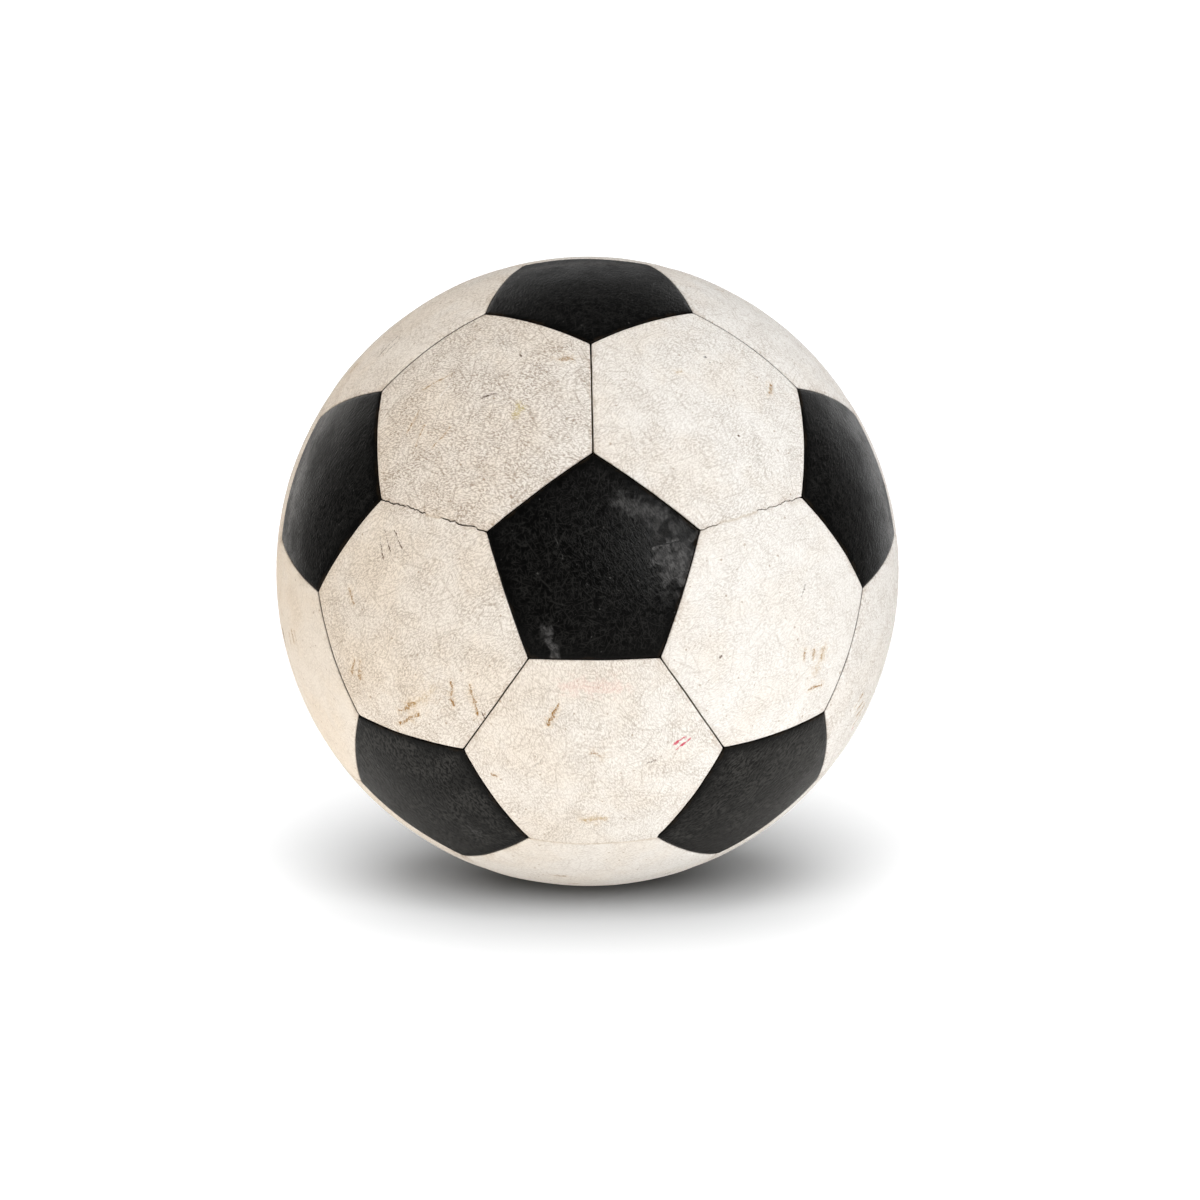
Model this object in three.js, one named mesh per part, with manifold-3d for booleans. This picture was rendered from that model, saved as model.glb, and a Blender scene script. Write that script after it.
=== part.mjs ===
// A hand-stitched football of thirty-two panels: twelve black pentagons and twenty white hexagons of coated
// leather, whose edges are turned in and sewn together, round a latex bladder with a plug valve.
// Millimetres, +Z up, origin at the centre of the ball. The front of the ball faces -Y.
import * as THREE from "three";
import { mergeVertices } from "three/addons/utils/BufferGeometryUtils.js";
import Module from "manifold-3d";

// ---- Driving dimensions -------------------------------------------------------------------------------------

const BALL_RADIUS = 110; // mean outer radius of a full-size ball, about 691 mm round
const OUT_OF_ROUND = { width: 0.9945, depth: 1, height: 1.0055 }; // each half-axis against the mean radius
const FRONT_TILT = 10; // degrees that the front pentagon looks up from the horizontal

const SHEET = 2.6; // leather with its coating and cloth lining
const SEAM_HALF_GAP = 0.25; // from a panel's edge to the middle of its seam, at the surface
const EDGE_ROLL = 0.8; // radius at which the leather turns in at a seam
const LIP_DEPTH = 3.9; // how far the turned-in edge hangs below the sheet
const LIP_THICKNESS = 1.8;
const LIP_FLARE = 0.5; // how much further the lip's tip stands from the seam than the panel's edge does

const THREAD_SIZE = 0.64; // across the waxed thread
const THREAD_DEPTH = 5; // of the stitch line below the surface
const KNOT_RADIUS = 0.62; // to the edges of the three-sided knots at the corners
const KNOT_HEIGHT = 0.9;

const BLADDER_RADIUS = 102.5; // inside the lips, which reach down to 103
const BLADDER_WALL = 1.2;

const VALVE_HOLE_RADIUS = 4.6; // in the panel and in the patch behind it
const PATCH_RADIUS = 17;
const PATCH_THICKNESS = 1;
const PATCH_CLEARANCE = 0.6; // below the flat facets of the panel's underside
const BOSS_RADIUS = 11; // the bladder's thick seat under the patch
const BOSS_TOP = 104.9;
const BOSS_BOTTOM = 99.2;
const COLLAR_RADIUS = 4.2; // the seat's neck, which rises through the hole
const COLLAR_TOP = 109.2;
const BORE_RADIUS = 2.7;
const PLUG_RADIUS = 2.4;
const PLUG_BULB_RADIUS = 4;
const PLUG_BULB_TOP = 98.8;
const PLUG_BULB_BOTTOM = 94.8;
const NEEDLE_RADIUS = 0.9;
const NEEDLE_DEPTH = 8;

// ---- The truncated icosahedron ------------------------------------------------------------------------------

const PENTAGON_TO_PENTAGON = Math.acos(1 / Math.sqrt(5)); // angles between the panels' axes
const PENTAGON_TO_HEXAGON = Math.acos(Math.sqrt((5 + 2 * Math.sqrt(5)) / 15));
const HEXAGON_TO_HEXAGON = Math.acos(Math.sqrt(5) / 3);
const FIFTH = (2 * Math.PI) / 5;

// reach: the angle from a panel's axis to the middle of its sides. start: the azimuth of its first corner
// from its local +Y, which leaves a corner of a pentagon, and a side that a hexagon shares with one, at +Y.
const SHAPES = {
  pentagon: { sides: 5, start: 0, reach: PENTAGON_TO_HEXAGON - HEXAGON_TO_HEXAGON / 2 },
  hexagon: { sides: 6, start: Math.PI / 6, reach: HEXAGON_TO_HEXAGON / 2 },
};

// Where the panels lie round the front axis: one or five to a ring, at an angle from the front, the first of them
// turned clockwise from the top. towardsFront says which way along its meridian a panel's local +Y points.
const RINGS = [
  { name: "black_pentagon_front", shape: "pentagon", polar: 0, turn: 0, count: 1 },
  { name: "white_hexagon_front", shape: "hexagon", polar: PENTAGON_TO_HEXAGON, turn: FIFTH / 2, towardsFront: true },
  { name: "black_pentagon_fore", shape: "pentagon", polar: PENTAGON_TO_PENTAGON, turn: 0, towardsFront: true },
  { name: "white_hexagon_fore", shape: "hexagon", polar: PENTAGON_TO_HEXAGON + HEXAGON_TO_HEXAGON, turn: FIFTH / 2 },
  {
    name: "white_hexagon_aft",
    shape: "hexagon",
    polar: Math.PI - PENTAGON_TO_HEXAGON - HEXAGON_TO_HEXAGON,
    turn: 0,
    towardsFront: true,
  },
  { name: "black_pentagon_aft", shape: "pentagon", polar: Math.PI - PENTAGON_TO_PENTAGON, turn: FIFTH / 2 },
  { name: "white_hexagon_back", shape: "hexagon", polar: Math.PI - PENTAGON_TO_HEXAGON, turn: 0 },
  { name: "black_pentagon_back", shape: "pentagon", polar: Math.PI, turn: FIFTH / 2, count: 1, towardsFront: true },
];
const VALVE_PANEL = "white_hexagon_back_1";

// ---- Materials ----------------------------------------------------------------------------------------------

const LEATHER = { roughness: 0.6, metalness: 0 };
const whiteLeather = new THREE.MeshStandardMaterial({ color: 0xd9d1c4, ...LEATHER });
const blackLeather = new THREE.MeshStandardMaterial({ color: 0x17171a, ...LEATHER });
const latex = new THREE.MeshStandardMaterial({ color: 0xc9a878, roughness: 0.7, metalness: 0 });
const valveRubber = new THREE.MeshStandardMaterial({ color: 0x1c1a19, roughness: 0.8, metalness: 0 });
const canvas = new THREE.MeshStandardMaterial({ color: 0xb9ab90, roughness: 0.95, metalness: 0 });
const waxedThread = new THREE.MeshStandardMaterial({ color: 0xcfc4ab, roughness: 0.8, metalness: 0 });

// ---- Solids -------------------------------------------------------------------------------------------------

const wasm = await Module();
wasm.setup();

function solidOf(geometry) {
  const bare = geometry.clone();
  bare.deleteAttribute("normal");
  bare.deleteAttribute("uv");
  const merged = mergeVertices(bare, 1e-4);
  return new wasm.Manifold(
    new wasm.Mesh({
      numProp: 3,
      vertProperties: new Float32Array(merged.attributes.position.array),
      triVerts: new Uint32Array(merged.index.array),
    }),
  );
}

function geometryOf(solid) {
  const { vertProperties, triVerts } = solid.getMesh();
  const geometry = new THREE.BufferGeometry();
  geometry.setAttribute("position", new THREE.BufferAttribute(vertProperties, 3));
  geometry.setIndex(new THREE.BufferAttribute(triVerts, 1));
  geometry.computeVertexNormals();
  return geometry;
}

// A cylinder along +Z between two heights.
function rod(radius, bottom, top, segments = 24) {
  const geometry = new THREE.CylinderGeometry(radius, radius, top - bottom, segments);
  geometry.rotateX(Math.PI / 2);
  geometry.translate(0, 0, (top + bottom) / 2);
  return solidOf(geometry);
}

// A lathe turned about +Z from [radius, height] pairs that start and end on the axis.
function turned(outline, segments) {
  const points = outline.map(([radius, height]) => new THREE.Vector2(radius, height));
  const geometry = new THREE.LatheGeometry(points, segments);
  geometry.rotateX(Math.PI / 2);
  return geometry;
}

// ---- Panels -------------------------------------------------------------------------------------------------

// The angle from a panel's axis to a point at height rho, an inset in from the planes of its sides, psi round from
// the middle of the nearest side.
function spread(reach, psi, rho, inset) {
  const across = Math.cos(psi) * Math.cos(reach);
  const tilt = Math.hypot(across, Math.sin(reach));
  return Math.atan2(Math.sin(reach), across) - Math.asin(Math.min(1, inset / (rho * tilt)));
}

// A panel's half section, from the middle of its face over the rolled edge, down the lip and back under the sheet.
// Each point is an inset from the seam and a depth below the surface.
function panelSection(reach) {
  const middle = BALL_RADIUS * Math.sin(reach);
  const lipTip = SHEET + LIP_DEPTH;
  const tipInset = SEAM_HALF_GAP + LIP_FLARE;
  const under = (BALL_RADIUS - SHEET) * Math.sin(reach);
  const rolled = EDGE_ROLL * (1 - Math.SQRT1_2);
  return [
    [middle, 0],
    [(middle * 2) / 3, 0],
    [middle / 3, 0],
    [SEAM_HALF_GAP + EDGE_ROLL, 0],
    [SEAM_HALF_GAP + rolled, rolled],
    [SEAM_HALF_GAP, EDGE_ROLL],
    [tipInset, lipTip],
    [tipInset + LIP_THICKNESS, lipTip],
    [tipInset + LIP_THICKNESS, SHEET],
    [under / 3, SHEET],
    [(under * 2) / 3, SHEET],
    [under, SHEET],
  ];
}

// A lathe with two segments to a side, bent so that its rings follow the polygon and the sphere.
function panelGeometry({ sides, start, reach }) {
  const section = panelSection(reach);
  const segments = sides * 2;
  const geometry = new THREE.LatheGeometry(
    section.map(([inset, depth]) => new THREE.Vector2(inset, -depth)),
    segments,
  );
  const position = geometry.attributes.position;
  for (let i = 0; i < position.count; i++) {
    const [inset, depth] = section[i % section.length];
    const round = Math.floor(i / section.length) % segments; // the last meridian is the first again
    const azimuth = start + (round * Math.PI) / sides;
    const psi = round % 2 ? 0 : Math.PI / sides; // the middle of a side, or a corner
    const rho = BALL_RADIUS - depth;
    const angle = spread(reach, psi, rho, inset);
    const out = rho * Math.sin(angle);
    position.setXYZ(i, out * Math.sin(azimuth), out * Math.cos(azimuth), rho * Math.cos(angle));
  }
  return geometry;
}

function withValveHole(geometry) {
  const hole = rod(VALVE_HOLE_RADIUS, BLADDER_RADIUS, BALL_RADIUS + SHEET);
  return geometryOf(solidOf(geometry).subtract(hole));
}

// ---- Bladder, valve and patch -------------------------------------------------------------------------------

function hollowSphere(radius, detail) {
  return solidOf(new THREE.IcosahedronGeometry(radius, detail));
}

function bladderGeometry() {
  const seat = rod(BOSS_RADIUS, BOSS_BOTTOM, BOSS_TOP).add(rod(COLLAR_RADIUS, BOSS_BOTTOM, COLLAR_TOP));
  const wall = hollowSphere(BLADDER_RADIUS, 5).subtract(hollowSphere(BLADDER_RADIUS - BLADDER_WALL, 5));
  return geometryOf(wall.add(seat).subtract(rod(BORE_RADIUS, PLUG_BULB_BOTTOM, BALL_RADIUS)));
}

// The plug: a stem with a needle passage, and a bulb that holds it behind the seat.
function valveGeometry() {
  const bulbMiddle = (PLUG_BULB_TOP + PLUG_BULB_BOTTOM) / 2;
  const outline = [
    [0, PLUG_BULB_BOTTOM],
    [PLUG_BULB_RADIUS * 0.6, PLUG_BULB_BOTTOM],
    [PLUG_BULB_RADIUS, bulbMiddle],
    [PLUG_BULB_RADIUS, PLUG_BULB_TOP],
    [PLUG_RADIUS, PLUG_BULB_TOP],
    [PLUG_RADIUS, COLLAR_TOP],
    [NEEDLE_RADIUS, COLLAR_TOP],
    [NEEDLE_RADIUS, COLLAR_TOP - NEEDLE_DEPTH],
    [0, COLLAR_TOP - NEEDLE_DEPTH],
  ];
  return turned(outline, 16);
}

// A round of canvas glued behind the valve hole, curved as the panel is.
function patchGeometry() {
  const top = BALL_RADIUS - SHEET - PATCH_CLEARANCE;
  const bottom = top - PATCH_THICKNESS;
  const height = (rho, out) => Math.sqrt(rho * rho - out * out);
  const middle = (PATCH_RADIUS + VALVE_HOLE_RADIUS) / 2;
  const outline = [
    [VALVE_HOLE_RADIUS, height(bottom, VALVE_HOLE_RADIUS)],
    [middle, height(bottom, middle)],
    [PATCH_RADIUS, height(bottom, PATCH_RADIUS)],
    [PATCH_RADIUS, height(top, PATCH_RADIUS)],
    [middle, height(top, middle)],
    [VALVE_HOLE_RADIUS, height(top, VALVE_HOLE_RADIUS)],
    [VALVE_HOLE_RADIUS, height(bottom, VALVE_HOLE_RADIUS)],
  ];
  return turned(outline, 24);
}

// ---- Thread -------------------------------------------------------------------------------------------------

// The square-section run of thread along a seam, an arc of a great circle between two corners' directions.
function threadRun(from, to, depth) {
  const angle = from.angleTo(to);
  const axis = from.clone().cross(to).normalize();
  const run = new THREE.BoxGeometry(THREAD_SIZE, THREAD_SIZE, 1, 1, 1, 2);
  const position = run.attributes.position;
  const point = new THREE.Vector3();
  for (let i = 0; i < position.count; i++) {
    const along = position.getZ(i) + 0.5;
    point.copy(from).applyAxisAngle(axis, angle * along);
    point.multiplyScalar(depth + position.getY(i)).addScaledVector(axis, position.getX(i));
    position.setXYZ(i, point.x, point.y, point.z);
  }
  return run;
}

// Round each corner the thread makes a knot with a flat side towards each of its three seams.
function seamThread(frames) {
  const depth = BALL_RADIUS - THREAD_DEPTH;
  const pieces = frames.map((frame) => {
    const knot = new THREE.CylinderGeometry(KNOT_RADIUS, KNOT_RADIUS, KNOT_HEIGHT, 3);
    return solidOf(knot.rotateX(Math.PI / 2).translate(0, 0, depth).applyMatrix4(frame));
  });
  const corners = frames.map((frame) => new THREE.Vector3(0, 0, 1).applyMatrix4(frame));
  const seam = Math.min(...corners.slice(1).map((corner) => corner.distanceTo(corners[0])));
  corners.forEach((from, i) => {
    for (const to of corners.slice(i + 1)) {
      if (from.distanceTo(to) < seam * 1.01) pieces.push(solidOf(threadRun(from, to, depth)));
    }
  });
  return geometryOf(wasm.Manifold.union(pieces));
}

// ---- Assembly -----------------------------------------------------------------------------------------------

function directionOf(polar, azimuth) {
  const out = Math.sin(polar);
  return new THREE.Vector3(out * Math.sin(azimuth), out * Math.cos(azimuth), Math.cos(polar));
}

// Turns an object so that its +Z points out of the ball there, and its +Y along the meridian.
function place(object, polar, azimuth, towardsFront) {
  const up = directionOf(polar + (towardsFront ? -Math.PI / 2 : Math.PI / 2), azimuth);
  const out = directionOf(polar, azimuth);
  const across = up.clone().cross(out);
  object.quaternion.setFromRotationMatrix(new THREE.Matrix4().makeBasis(across, up, out));
  return object;
}

function namedMesh(name, geometry, material) {
  const mesh = new THREE.Mesh(geometry, material);
  mesh.name = name;
  return mesh;
}

const ball = new THREE.Group(); // its own axes are the part's
ball.scale.set(OUT_OF_ROUND.width, OUT_OF_ROUND.depth, OUT_OF_ROUND.height);
const casing = new THREE.Group(); // its +Z is the axis of the front pentagon
casing.rotation.x = THREE.MathUtils.degToRad(90 - FRONT_TILT);
ball.add(casing);

const panels = { pentagon: panelGeometry(SHAPES.pentagon), hexagon: panelGeometry(SHAPES.hexagon) };
const materials = { pentagon: blackLeather, hexagon: whiteLeather };
for (const { name, shape, polar, turn, count = 5, towardsFront = false } of RINGS) {
  for (let i = 0; i < count; i++) {
    const node = count === 1 ? name : `${name}_${i + 1}`;
    const geometry = node === VALVE_PANEL ? withValveHole(panels[shape]) : panels[shape];
    casing.add(place(namedMesh(node, geometry, materials[shape]), polar, turn + i * FIFTH, towardsFront));
  }
}

const valve = new THREE.Group(); // stands in the valve panel's own axes
const valveRing = RINGS.find(({ name }) => VALVE_PANEL.startsWith(name));
place(valve, valveRing.polar, valveRing.turn, false);
valve.add(namedMesh("bladder", bladderGeometry(), latex));
valve.add(namedMesh("valve_plug", valveGeometry(), valveRubber));
valve.add(namedMesh("valve_patch", patchGeometry(), canvas));
casing.add(valve);

// A pentagon's corners lie towards its five neighbours, and the twelve pentagons have all sixty corners.
const { sides, reach } = SHAPES.pentagon;
const cornerAngle = spread(reach, Math.PI / sides, 1, 0);
const cornerFrames = casing.children
  .filter((object) => object.name.includes("pentagon"))
  .flatMap((pentagon) =>
    Array.from({ length: sides }, (_, i) => {
      const corner = place(new THREE.Object3D(), cornerAngle, i * FIFTH, false).quaternion;
      return new THREE.Matrix4().makeRotationFromQuaternion(corner.premultiply(pentagon.quaternion));
    }),
  );
casing.add(namedMesh("seam_thread", seamThread(cornerFrames), waxedThread));

export default ball;
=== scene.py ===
"""A worn hand-stitched football: 32 panels of coated grain leather, their stitches, bladder and valve."""

import math
import random

import bmesh
import bpy
from bpy.props import FloatProperty, FloatVectorProperty, IntProperty, PointerProperty
from mathutils import Matrix, Vector, noise


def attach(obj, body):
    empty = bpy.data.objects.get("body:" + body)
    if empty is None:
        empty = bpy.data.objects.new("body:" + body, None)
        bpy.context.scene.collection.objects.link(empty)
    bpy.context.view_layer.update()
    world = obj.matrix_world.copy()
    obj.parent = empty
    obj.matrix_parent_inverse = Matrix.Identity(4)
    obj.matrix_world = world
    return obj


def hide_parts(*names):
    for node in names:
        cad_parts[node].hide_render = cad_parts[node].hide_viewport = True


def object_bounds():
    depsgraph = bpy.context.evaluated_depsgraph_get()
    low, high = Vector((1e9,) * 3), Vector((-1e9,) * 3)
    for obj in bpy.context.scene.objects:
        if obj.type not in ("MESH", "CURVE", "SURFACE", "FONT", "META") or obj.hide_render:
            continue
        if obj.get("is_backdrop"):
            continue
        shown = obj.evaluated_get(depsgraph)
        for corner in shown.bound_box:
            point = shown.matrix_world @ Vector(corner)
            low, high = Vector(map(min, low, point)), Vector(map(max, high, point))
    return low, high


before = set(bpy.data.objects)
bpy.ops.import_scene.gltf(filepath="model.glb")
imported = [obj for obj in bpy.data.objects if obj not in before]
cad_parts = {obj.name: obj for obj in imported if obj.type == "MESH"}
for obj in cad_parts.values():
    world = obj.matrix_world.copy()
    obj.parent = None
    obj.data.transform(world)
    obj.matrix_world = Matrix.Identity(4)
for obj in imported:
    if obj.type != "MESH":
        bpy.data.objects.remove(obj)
CAD_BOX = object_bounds()

bl_info = {
    "name": "Worn football",
    "version": (1, 0, 0),
    "blender": (4, 5, 0),
    "location": "View3D > Sidebar > Football",
    "description": "Builds a worn, hand-stitched football of thirty-two leather panels",
    "category": "Object",
}

MM = 0.001
TAU = 2 * math.pi

# ---- The truncated icosahedron -----------------------------------------------------------------------------

PENTAGON_TO_PENTAGON = math.acos(1 / math.sqrt(5))
PENTAGON_TO_HEXAGON = math.acos(math.sqrt((5 + 2 * math.sqrt(5)) / 15))
HEXAGON_TO_HEXAGON = math.acos(math.sqrt(5) / 3)
FIFTH = TAU / 5


class Shape:
    """A panel's outline: its sides, the azimuth of its first corner and the angle to the middle of a side."""

    def __init__(self, name, sides, start, reach):
        self.name, self.sides, self.start, self.reach = name, sides, start, reach
        self.corner = math.atan2(math.tan(reach), math.cos(math.pi / sides))


PENTAGON = Shape("pentagon", 5, 0, PENTAGON_TO_HEXAGON - HEXAGON_TO_HEXAGON / 2)
HEXAGON = Shape("hexagon", 6, math.pi / 6, HEXAGON_TO_HEXAGON / 2)

# Rings of panels round the axis of the front pentagon: name, shape, angle from the front, the first panel's
# turn from the top, how many, and whether the panels' own +Y points towards the front.
RINGS = (
    ("black_pentagon_front", PENTAGON, 0, 0, 1, False),
    ("white_hexagon_front", HEXAGON, PENTAGON_TO_HEXAGON, FIFTH / 2, 5, True),
    ("black_pentagon_fore", PENTAGON, PENTAGON_TO_PENTAGON, 0, 5, True),
    ("white_hexagon_fore", HEXAGON, PENTAGON_TO_HEXAGON + HEXAGON_TO_HEXAGON, FIFTH / 2, 5, False),
    ("white_hexagon_aft", HEXAGON, math.pi - PENTAGON_TO_HEXAGON - HEXAGON_TO_HEXAGON, 0, 5, True),
    ("black_pentagon_aft", PENTAGON, math.pi - PENTAGON_TO_PENTAGON, FIFTH / 2, 5, False),
    ("white_hexagon_back", HEXAGON, math.pi - PENTAGON_TO_HEXAGON, 0, 5, False),
    ("black_pentagon_back", PENTAGON, math.pi, FIFTH / 2, 1, True),
)
VALVE_PANEL = "white_hexagon_back_1"


def direction(polar, azimuth):
    out = math.sin(polar)
    return Vector((out * math.sin(azimuth), out * math.cos(azimuth), math.cos(polar)))


class Panel:
    """One panel's CAD node, shape and place: turn takes its axes to the casing's, where +Z is the front."""

    def __init__(self, node, shape, polar, azimuth, towards_front):
        self.node, self.shape = node, shape
        up = direction(polar + (-math.pi / 2 if towards_front else math.pi / 2), azimuth)
        out = direction(polar, azimuth)
        self.turn = Matrix((up.cross(out), up, out)).transposed()
        self.out = out


def all_panels():
    panels = []
    for name, shape, polar, turn, count, towards_front in RINGS:
        for i in range(count):
            node = name if count == 1 else f"{name}_{i + 1}"
            panels.append(Panel(node, shape, polar, turn + i * FIFTH, towards_front))
    return panels


PANELS = all_panels()


# ---- Settings ----------------------------------------------------------------------------------------------


def length(name, text, millimetres):
    return FloatProperty(name=name, description=text, default=millimetres * MM, unit="LENGTH", precision=5)


def colour(name, text, value):
    return FloatVectorProperty(
        name=name, description=text, default=value, size=3, subtype="COLOR", min=0, max=1
    )


def power(name, text, value):
    return FloatProperty(name=name, description=text, default=value, unit="POWER")


class FootballSizes(bpy.types.PropertyGroup):
    radius: length("Radius", "Mean outer radius of the ball", 110)
    width: FloatProperty(name="Width", description="Half-width against the mean radius", default=0.9945)
    height: FloatProperty(name="Height", description="Half-height against the mean radius", default=1.0055)
    tilt: FloatProperty(
        name="Front tilt",
        description="How far the front pentagon looks up from the horizontal",
        default=math.radians(10),
        subtype="ANGLE",
    )
    sheet: length("Sheet", "Thickness of the leather with its coating and lining", 2.6)
    half_gap: length("Half gap", "From the middle of an open seam to a panel's edge", 0.2)
    roll: length("Roll", "Radius at which the leather turns in at a seam", 0.5)
    lip_depth: length("Lip depth", "How far the turned-in edge hangs below the sheet", 3.9)
    lip_thickness: length("Lip thickness", "Thickness of the turned-in edge", 1.8)
    lip_flare: length("Lip flare", "How much further the lip's tip stands from the seam", 0.5)
    columns: IntProperty(
        name="Columns", description="Mesh columns to each side of a panel", default=44, min=8
    )
    stitch: length("Stitch", "Distance between two stitches of a seam", 5)
    thread: length("Thread", "Diameter of the waxed thread", 0.7)


class FootballColours(bpy.types.PropertyGroup):
    white: colour("White", "Clean white coating", (0.84, 0.815, 0.775))
    # This colour also paints the warm shade down the ball's left side.
    yellowed: colour("Yellowed", "White coating where it has yellowed", (0.80, 0.68, 0.54))
    black: colour("Black", "Black coating", (0.0011, 0.0011, 0.001))
    # On the two lower pentagons this colour also paints the floor's reflection.
    rubbed: colour("Rubbed", "Black coating where it is rubbed and scratched", (0.03, 0.029, 0.027))
    grime: colour("Grime", "Dirt in the grain and the seams", (0.2, 0.12, 0.058))
    mud: colour("Mud", "Scuffs of dried mud", (0.26, 0.15, 0.06))
    latex: colour("Latex", "The bladder and the neck of its valve", (0.62, 0.45, 0.26))
    rubber: colour("Rubber", "The valve's plug", (0.02, 0.019, 0.018))
    canvas: colour("Canvas", "The patch behind the valve hole", (0.5, 0.44, 0.32))
    waxed: colour("Waxed thread", "The stitches", (0.42, 0.34, 0.22))


class FootballStage(bpy.types.PropertyGroup):
    floor: colour("Floor", "The pale floor", (0.08, 0.08, 0.08))
    floor_bounce: colour("Floor bounce", "What the floor throws back at the ball", (0.054, 0.0528, 0.0508))
    floor_light: FloatProperty(
        name="Floor light", description="Strength of the soft light on the floor", default=1.0
    )
    surround: FloatProperty(name="Surround", description="Strength of the light from all round", default=0.11)
    key: power("Key light", "Power of the softbox at the front right", 5)
    front: power("Front light", "Power of the softbox at the front", 3.0)
    left: power("Left light", "Power of the softbox at the left", 8.9)
    right: power("Right light", "Power of the softbox at the right", 5.8)
    rim: power("Rim lights", "Power of the softboxes behind", 2.5)
    back: power("Back light", "Power of the low softbox behind", 0.6)
    top: power("Top light", "Power of the softbox overhead", 8)
    bounce: power("Bounce", "Power of the light off the floor", 8.6)
    warm: colour("Warm light", "Colour of the light from the left", (1, 0.965, 0.925))
    distance: FloatProperty(
        name="Distance", description="From the camera to the ball", default=2.018, unit="LENGTH"
    )
    azimuth: FloatProperty(
        name="Azimuth",
        description="Camera's turn round the ball",
        default=math.radians(-1.2),
        subtype="ANGLE",
    )
    elevation: FloatProperty(
        name="Elevation",
        description="Camera's height over the ball",
        default=math.radians(9.12),
        subtype="ANGLE",
    )


# ---- Seams -------------------------------------------------------------------------------------------------


class SeamWear:
    """How a seam has worn: its half gap against the usual, how far the crack jags to the sides in mm, and the
    stretches that the coating still bridges, each from one fraction to another of the way from the end nearer
    to the front pentagon."""

    def __init__(self, gap=1.0, jag=0.0, bridged=()):
        self.gap, self.jag, self.bridged = gap, jag, bridged

    def closed(self, along):
        fade = 0.035
        shut = 0
        for start, end in self.bridged:
            inside = min(along - start, end - along)
            shut = max(shut, min(1, max(0, inside / fade + 0.5)))
        return shut


SOUND_SEAM = SeamWear()
SEAM_WEAR = {
    ("white_hexagon_front_4", "white_hexagon_front_5"): SeamWear(gap=0.85, jag=0.8, bridged=((0.40, 0.54),)),
    ("white_hexagon_front_1", "white_hexagon_front_2"): SeamWear(gap=0.5, jag=0.55, bridged=((0.17, 0.52),)),
    ("white_hexagon_front_1", "white_hexagon_front_5"): SeamWear(gap=1.15),
    ("white_hexagon_fore_3", "white_hexagon_front_3"): SeamWear(gap=0.5, jag=0.12, bridged=((-0.1, 1.1),)),
    ("white_hexagon_fore_5", "white_hexagon_front_5"): SeamWear(gap=2.1),
    ("white_hexagon_fore_1", "white_hexagon_front_1"): SeamWear(gap=1.8),
    ("white_hexagon_fore_4", "white_hexagon_front_4"): SeamWear(gap=1.9),
    ("white_hexagon_fore_2", "white_hexagon_front_2"): SeamWear(gap=1.9),
    ("white_hexagon_aft_2", "white_hexagon_fore_2"): SeamWear(gap=0.6, jag=0.3, bridged=((0.3, 0.62),)),
    ("white_hexagon_back_1", "white_hexagon_back_2"): SeamWear(
        gap=0.55, jag=0.35, bridged=((0.1, 0.3), (0.7, 0.9))
    ),
    ("white_hexagon_back_3", "white_hexagon_back_4"): SeamWear(gap=0.5, jag=0.35, bridged=((0.35, 0.6),)),
    ("white_hexagon_aft_4", "white_hexagon_back_4"): SeamWear(gap=0.5, jag=0.2, bridged=((-0.1, 0.7),)),
}


class Seam:
    """A seam between two corners, as directions from the middle of the ball in the casing's axes."""

    def __init__(self, one, other, panels):
        self.first, self.last = (one, other) if (one.z, one.x) >= (other.z, other.x) else (other, one)
        self.normal = self.first.cross(self.last).normalized()
        self.span = self.first.angle(self.last)
        self.wear = SEAM_WEAR.get(tuple(sorted(panel.node for panel in panels)), SOUND_SEAM)

    def along(self, point):
        """The fraction of the way from the first corner."""
        return math.atan2(self.first.cross(point).dot(self.normal), self.first.dot(point)) / self.span


def corners_of(panel):
    shape = panel.shape
    return [
        panel.turn @ direction(shape.corner, shape.start + TAU * i / shape.sides) for i in range(shape.sides)
    ]


def key_of(point):
    return tuple(round(value, 3) + 0.0 for value in point)


def seams_by_side():
    """Each panel side's seam, from the panel's node and the side's number."""
    sides = {}
    for panel in PANELS:
        corners = corners_of(panel)
        for i, corner in enumerate(corners):
            ends = frozenset((key_of(corner), key_of(corners[(i + 1) % len(corners)])))
            sides.setdefault(ends, []).append((panel, i, corner, corners[(i + 1) % len(corners)]))
    seams = {}
    for (one, i, start, end), (other, j, _, _) in sides.values():
        seams[one.node, i] = seams[other.node, j] = Seam(start, end, (one, other))
    return seams


SEAMS = seams_by_side()


# ---- Panel meshes ------------------------------------------------------------------------------------------


def spread(reach, psi, rho, inset):
    """The angle from a panel's axis to a point rho from the ball's middle and inset from its side's plane,
    psi round from the middle of the side."""
    across = math.cos(psi) * math.cos(reach)
    tilt = math.hypot(across, math.sin(reach))
    return math.atan2(math.sin(reach), across) - math.asin(min(1, inset / (rho * tilt)))


EDGE_SAG = 0.18 * MM
# The distance from the seams that a panel's middle point is given.
FAR_FROM_SEAMS = 30 * MM


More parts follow.
